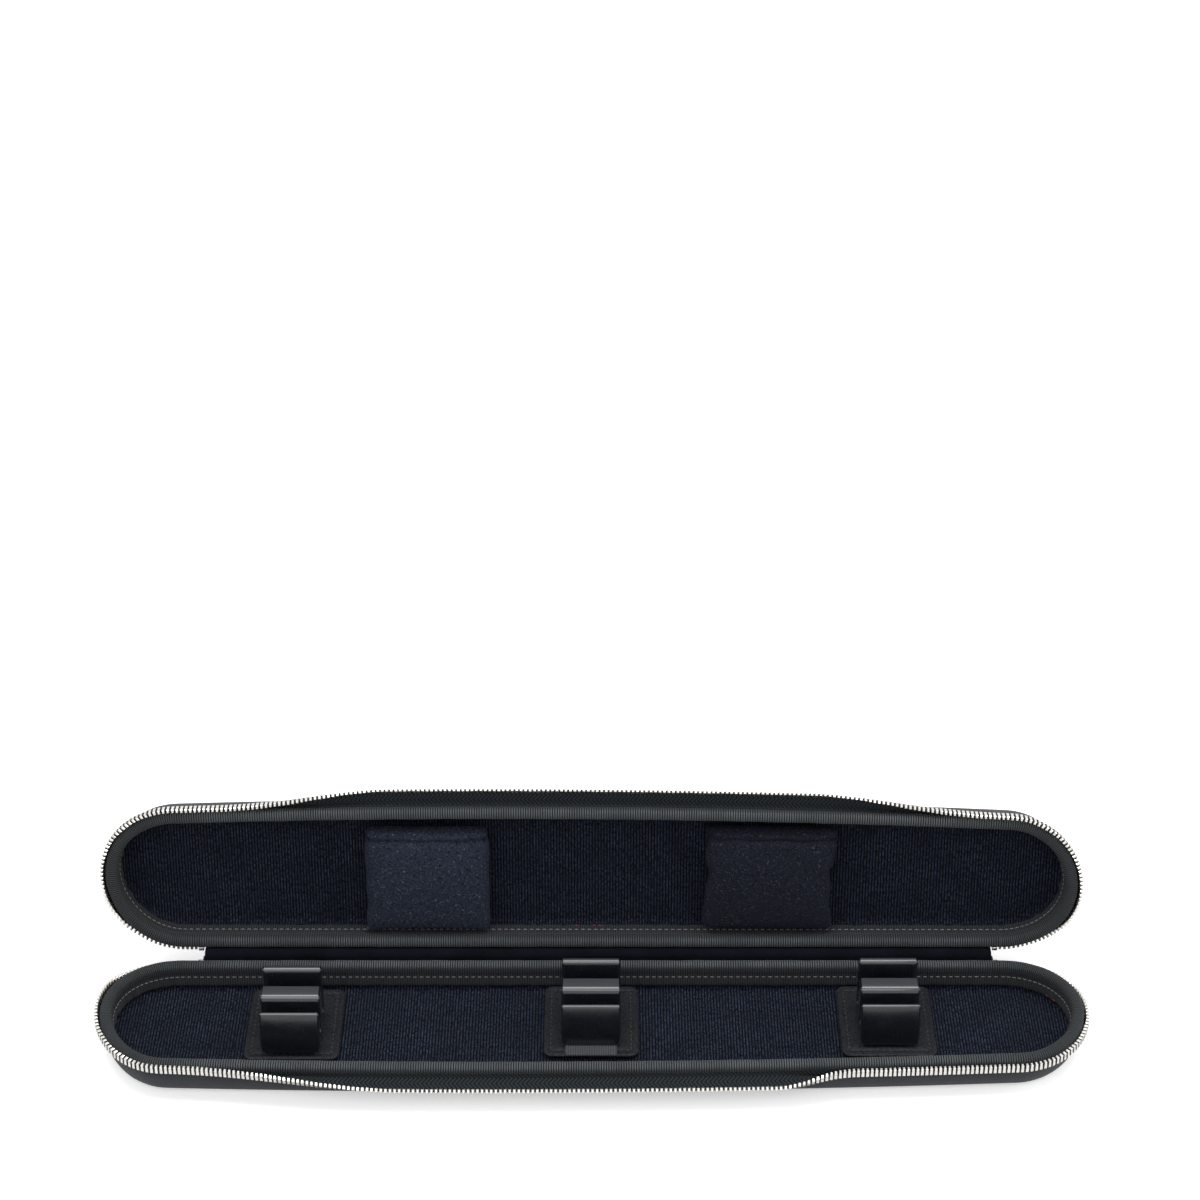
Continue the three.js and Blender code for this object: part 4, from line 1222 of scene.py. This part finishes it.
def dress_pad(side):
    pad, base, axes = cushion(side)
    puff(pad)
    levels = 3
    adjusted(pad.modifiers.new("Smooth form", "SUBSURF"), levels=levels, render_levels=levels)
    apply_modifiers(pad)
    mesh = pad.data
    co = np.array([v.co for v in mesh.vertices]) / MM
    normals = np.array([v.normal for v in mesh.vertices])
    across, up, out = axes @ (co - base).T
    seam_line = up - (pad_height / 2 - pad_seam_drop) - 0.25 * np.sin(across / 3.1)
    seam = 2.2 * np.exp(-(seam_line / 1.2) ** 2) * np.clip((out - 4.0) / 3.0, 0, 1)
    raised = 0.3 * (0.5 - loop_cells(co + 500, 1.0)) * (1 - 0.7 * np.exp(-(seam_line / 0.9) ** 2))
    raised *= np.clip(out / 1.5, 0, 1)
    moved = co + normals * (raised - seam)[:, None]
    out = (moved - base) @ axes[2]
    moved += (np.clip(out, 0.0, pad_thickness + 1.2) - out)[:, None] * axes[2]
    mesh.vertices.foreach_set("co", (moved * MM).astype(np.float32).ravel())
    mesh.shade_smooth()
    wear_of(pad, f"pad_{side}", f"lid_pad_{side}", slot="terry", paint=terry_finishes[side])


for side in ("left", "right"):
    dress_pad(side)
    rounded_copy(f"pad_hook_{side}", f"pad_hook_tape_{side}", 0.3, f"pad_{side}", "hook",
                 hook_finish)


# Floor, lamps and camera
white = (1.0, 1.0, 1.0, 1.0)
floor_shades = ((0.7, 0.7, 0.7, 1.0), (0.72, 0.72, 0.72, 1.0))


def floor():
    """A pale floor that the camera sees as plain white."""
    bpy.ops.object.select_all(action="DESELECT")
    bpy.ops.mesh.primitive_plane_add(size=8.0, location=(0.0, 0.0, 0.0))
    ground = adjusted(bpy.context.object, name="floor")
    paint = Paint("Pale floor", 0.75, Specular_IOR_Level=0.2, Emission_Color=white)
    ray = node(paint.tree, "ShaderNodeLightPath").outputs["Is Camera Ray"]
    drift = noise(paint.tree, paint.object(), 0.01)
    paint.set("Base Color", paint.mix(ray, paint.mix(drift, *floor_shades), white))
    paint.set("Emission Strength", paint.calc("MULTIPLY", ray, 0.42))
    ground.data.materials.append(paint.material)


floor()
# Lamps: place, height aimed at over the middle, width, height and power
lamps = (("overhead", (0.0, -0.05, 1.6), 0.0, 1.6, 0.65, 17),
         ("front", (-0.25, -1.1, 1.3), 0.03, 1.6, 0.7, 8),
         ("side", (1.5, -0.2, 0.9), 0.03, 0.8, 0.8, 6))
for name, place, aim_height, wide, high, power in lamps:
    data = adjusted(bpy.data.lights.new(name, "AREA"), shape="RECTANGLE", size=wide,
                    size_y=high, energy=power)
    way = Vector((0.0, 0.0, aim_height)) - Vector(place)
    adjusted(linked(name, data), location=place,
             rotation_euler=way.to_track_quat("-Z", "Y").to_euler())

# The surroundings are brighter where they are seen directly, mirrored or through a piece
world = bpy.data.worlds.new("Studio")
bpy.context.scene.world = world
world.use_nodes = True
sky = world.node_tree
shade = sky.nodes["Background"]
shade.inputs["Color"].default_value = white
rays = node(sky, "ShaderNodeLightPath").outputs
seen = calc(sky, "MAXIMUM", rays["Is Camera Ray"], calc(sky, "MAXIMUM", rays["Is Glossy Ray"],
                                                      rays["Is Transmission Ray"]))
sky.links.new(calc(sky, "MULTIPLY_ADD", seen, 0.45, 0.55), shade.inputs["Strength"])

camera = adjusted(bpy.data.cameras.new("camera"), lens=81.75, sensor_width=36.0, clip_end=20.0)
bpy.context.scene.camera = adjusted(linked("camera", camera), location=(0.00375, -0.954, 0.8976),
                                    rotation_euler=(math.radians(56.0), 0.0, 0.0))
bpy.context.scene.view_settings.view_transform = "Standard"
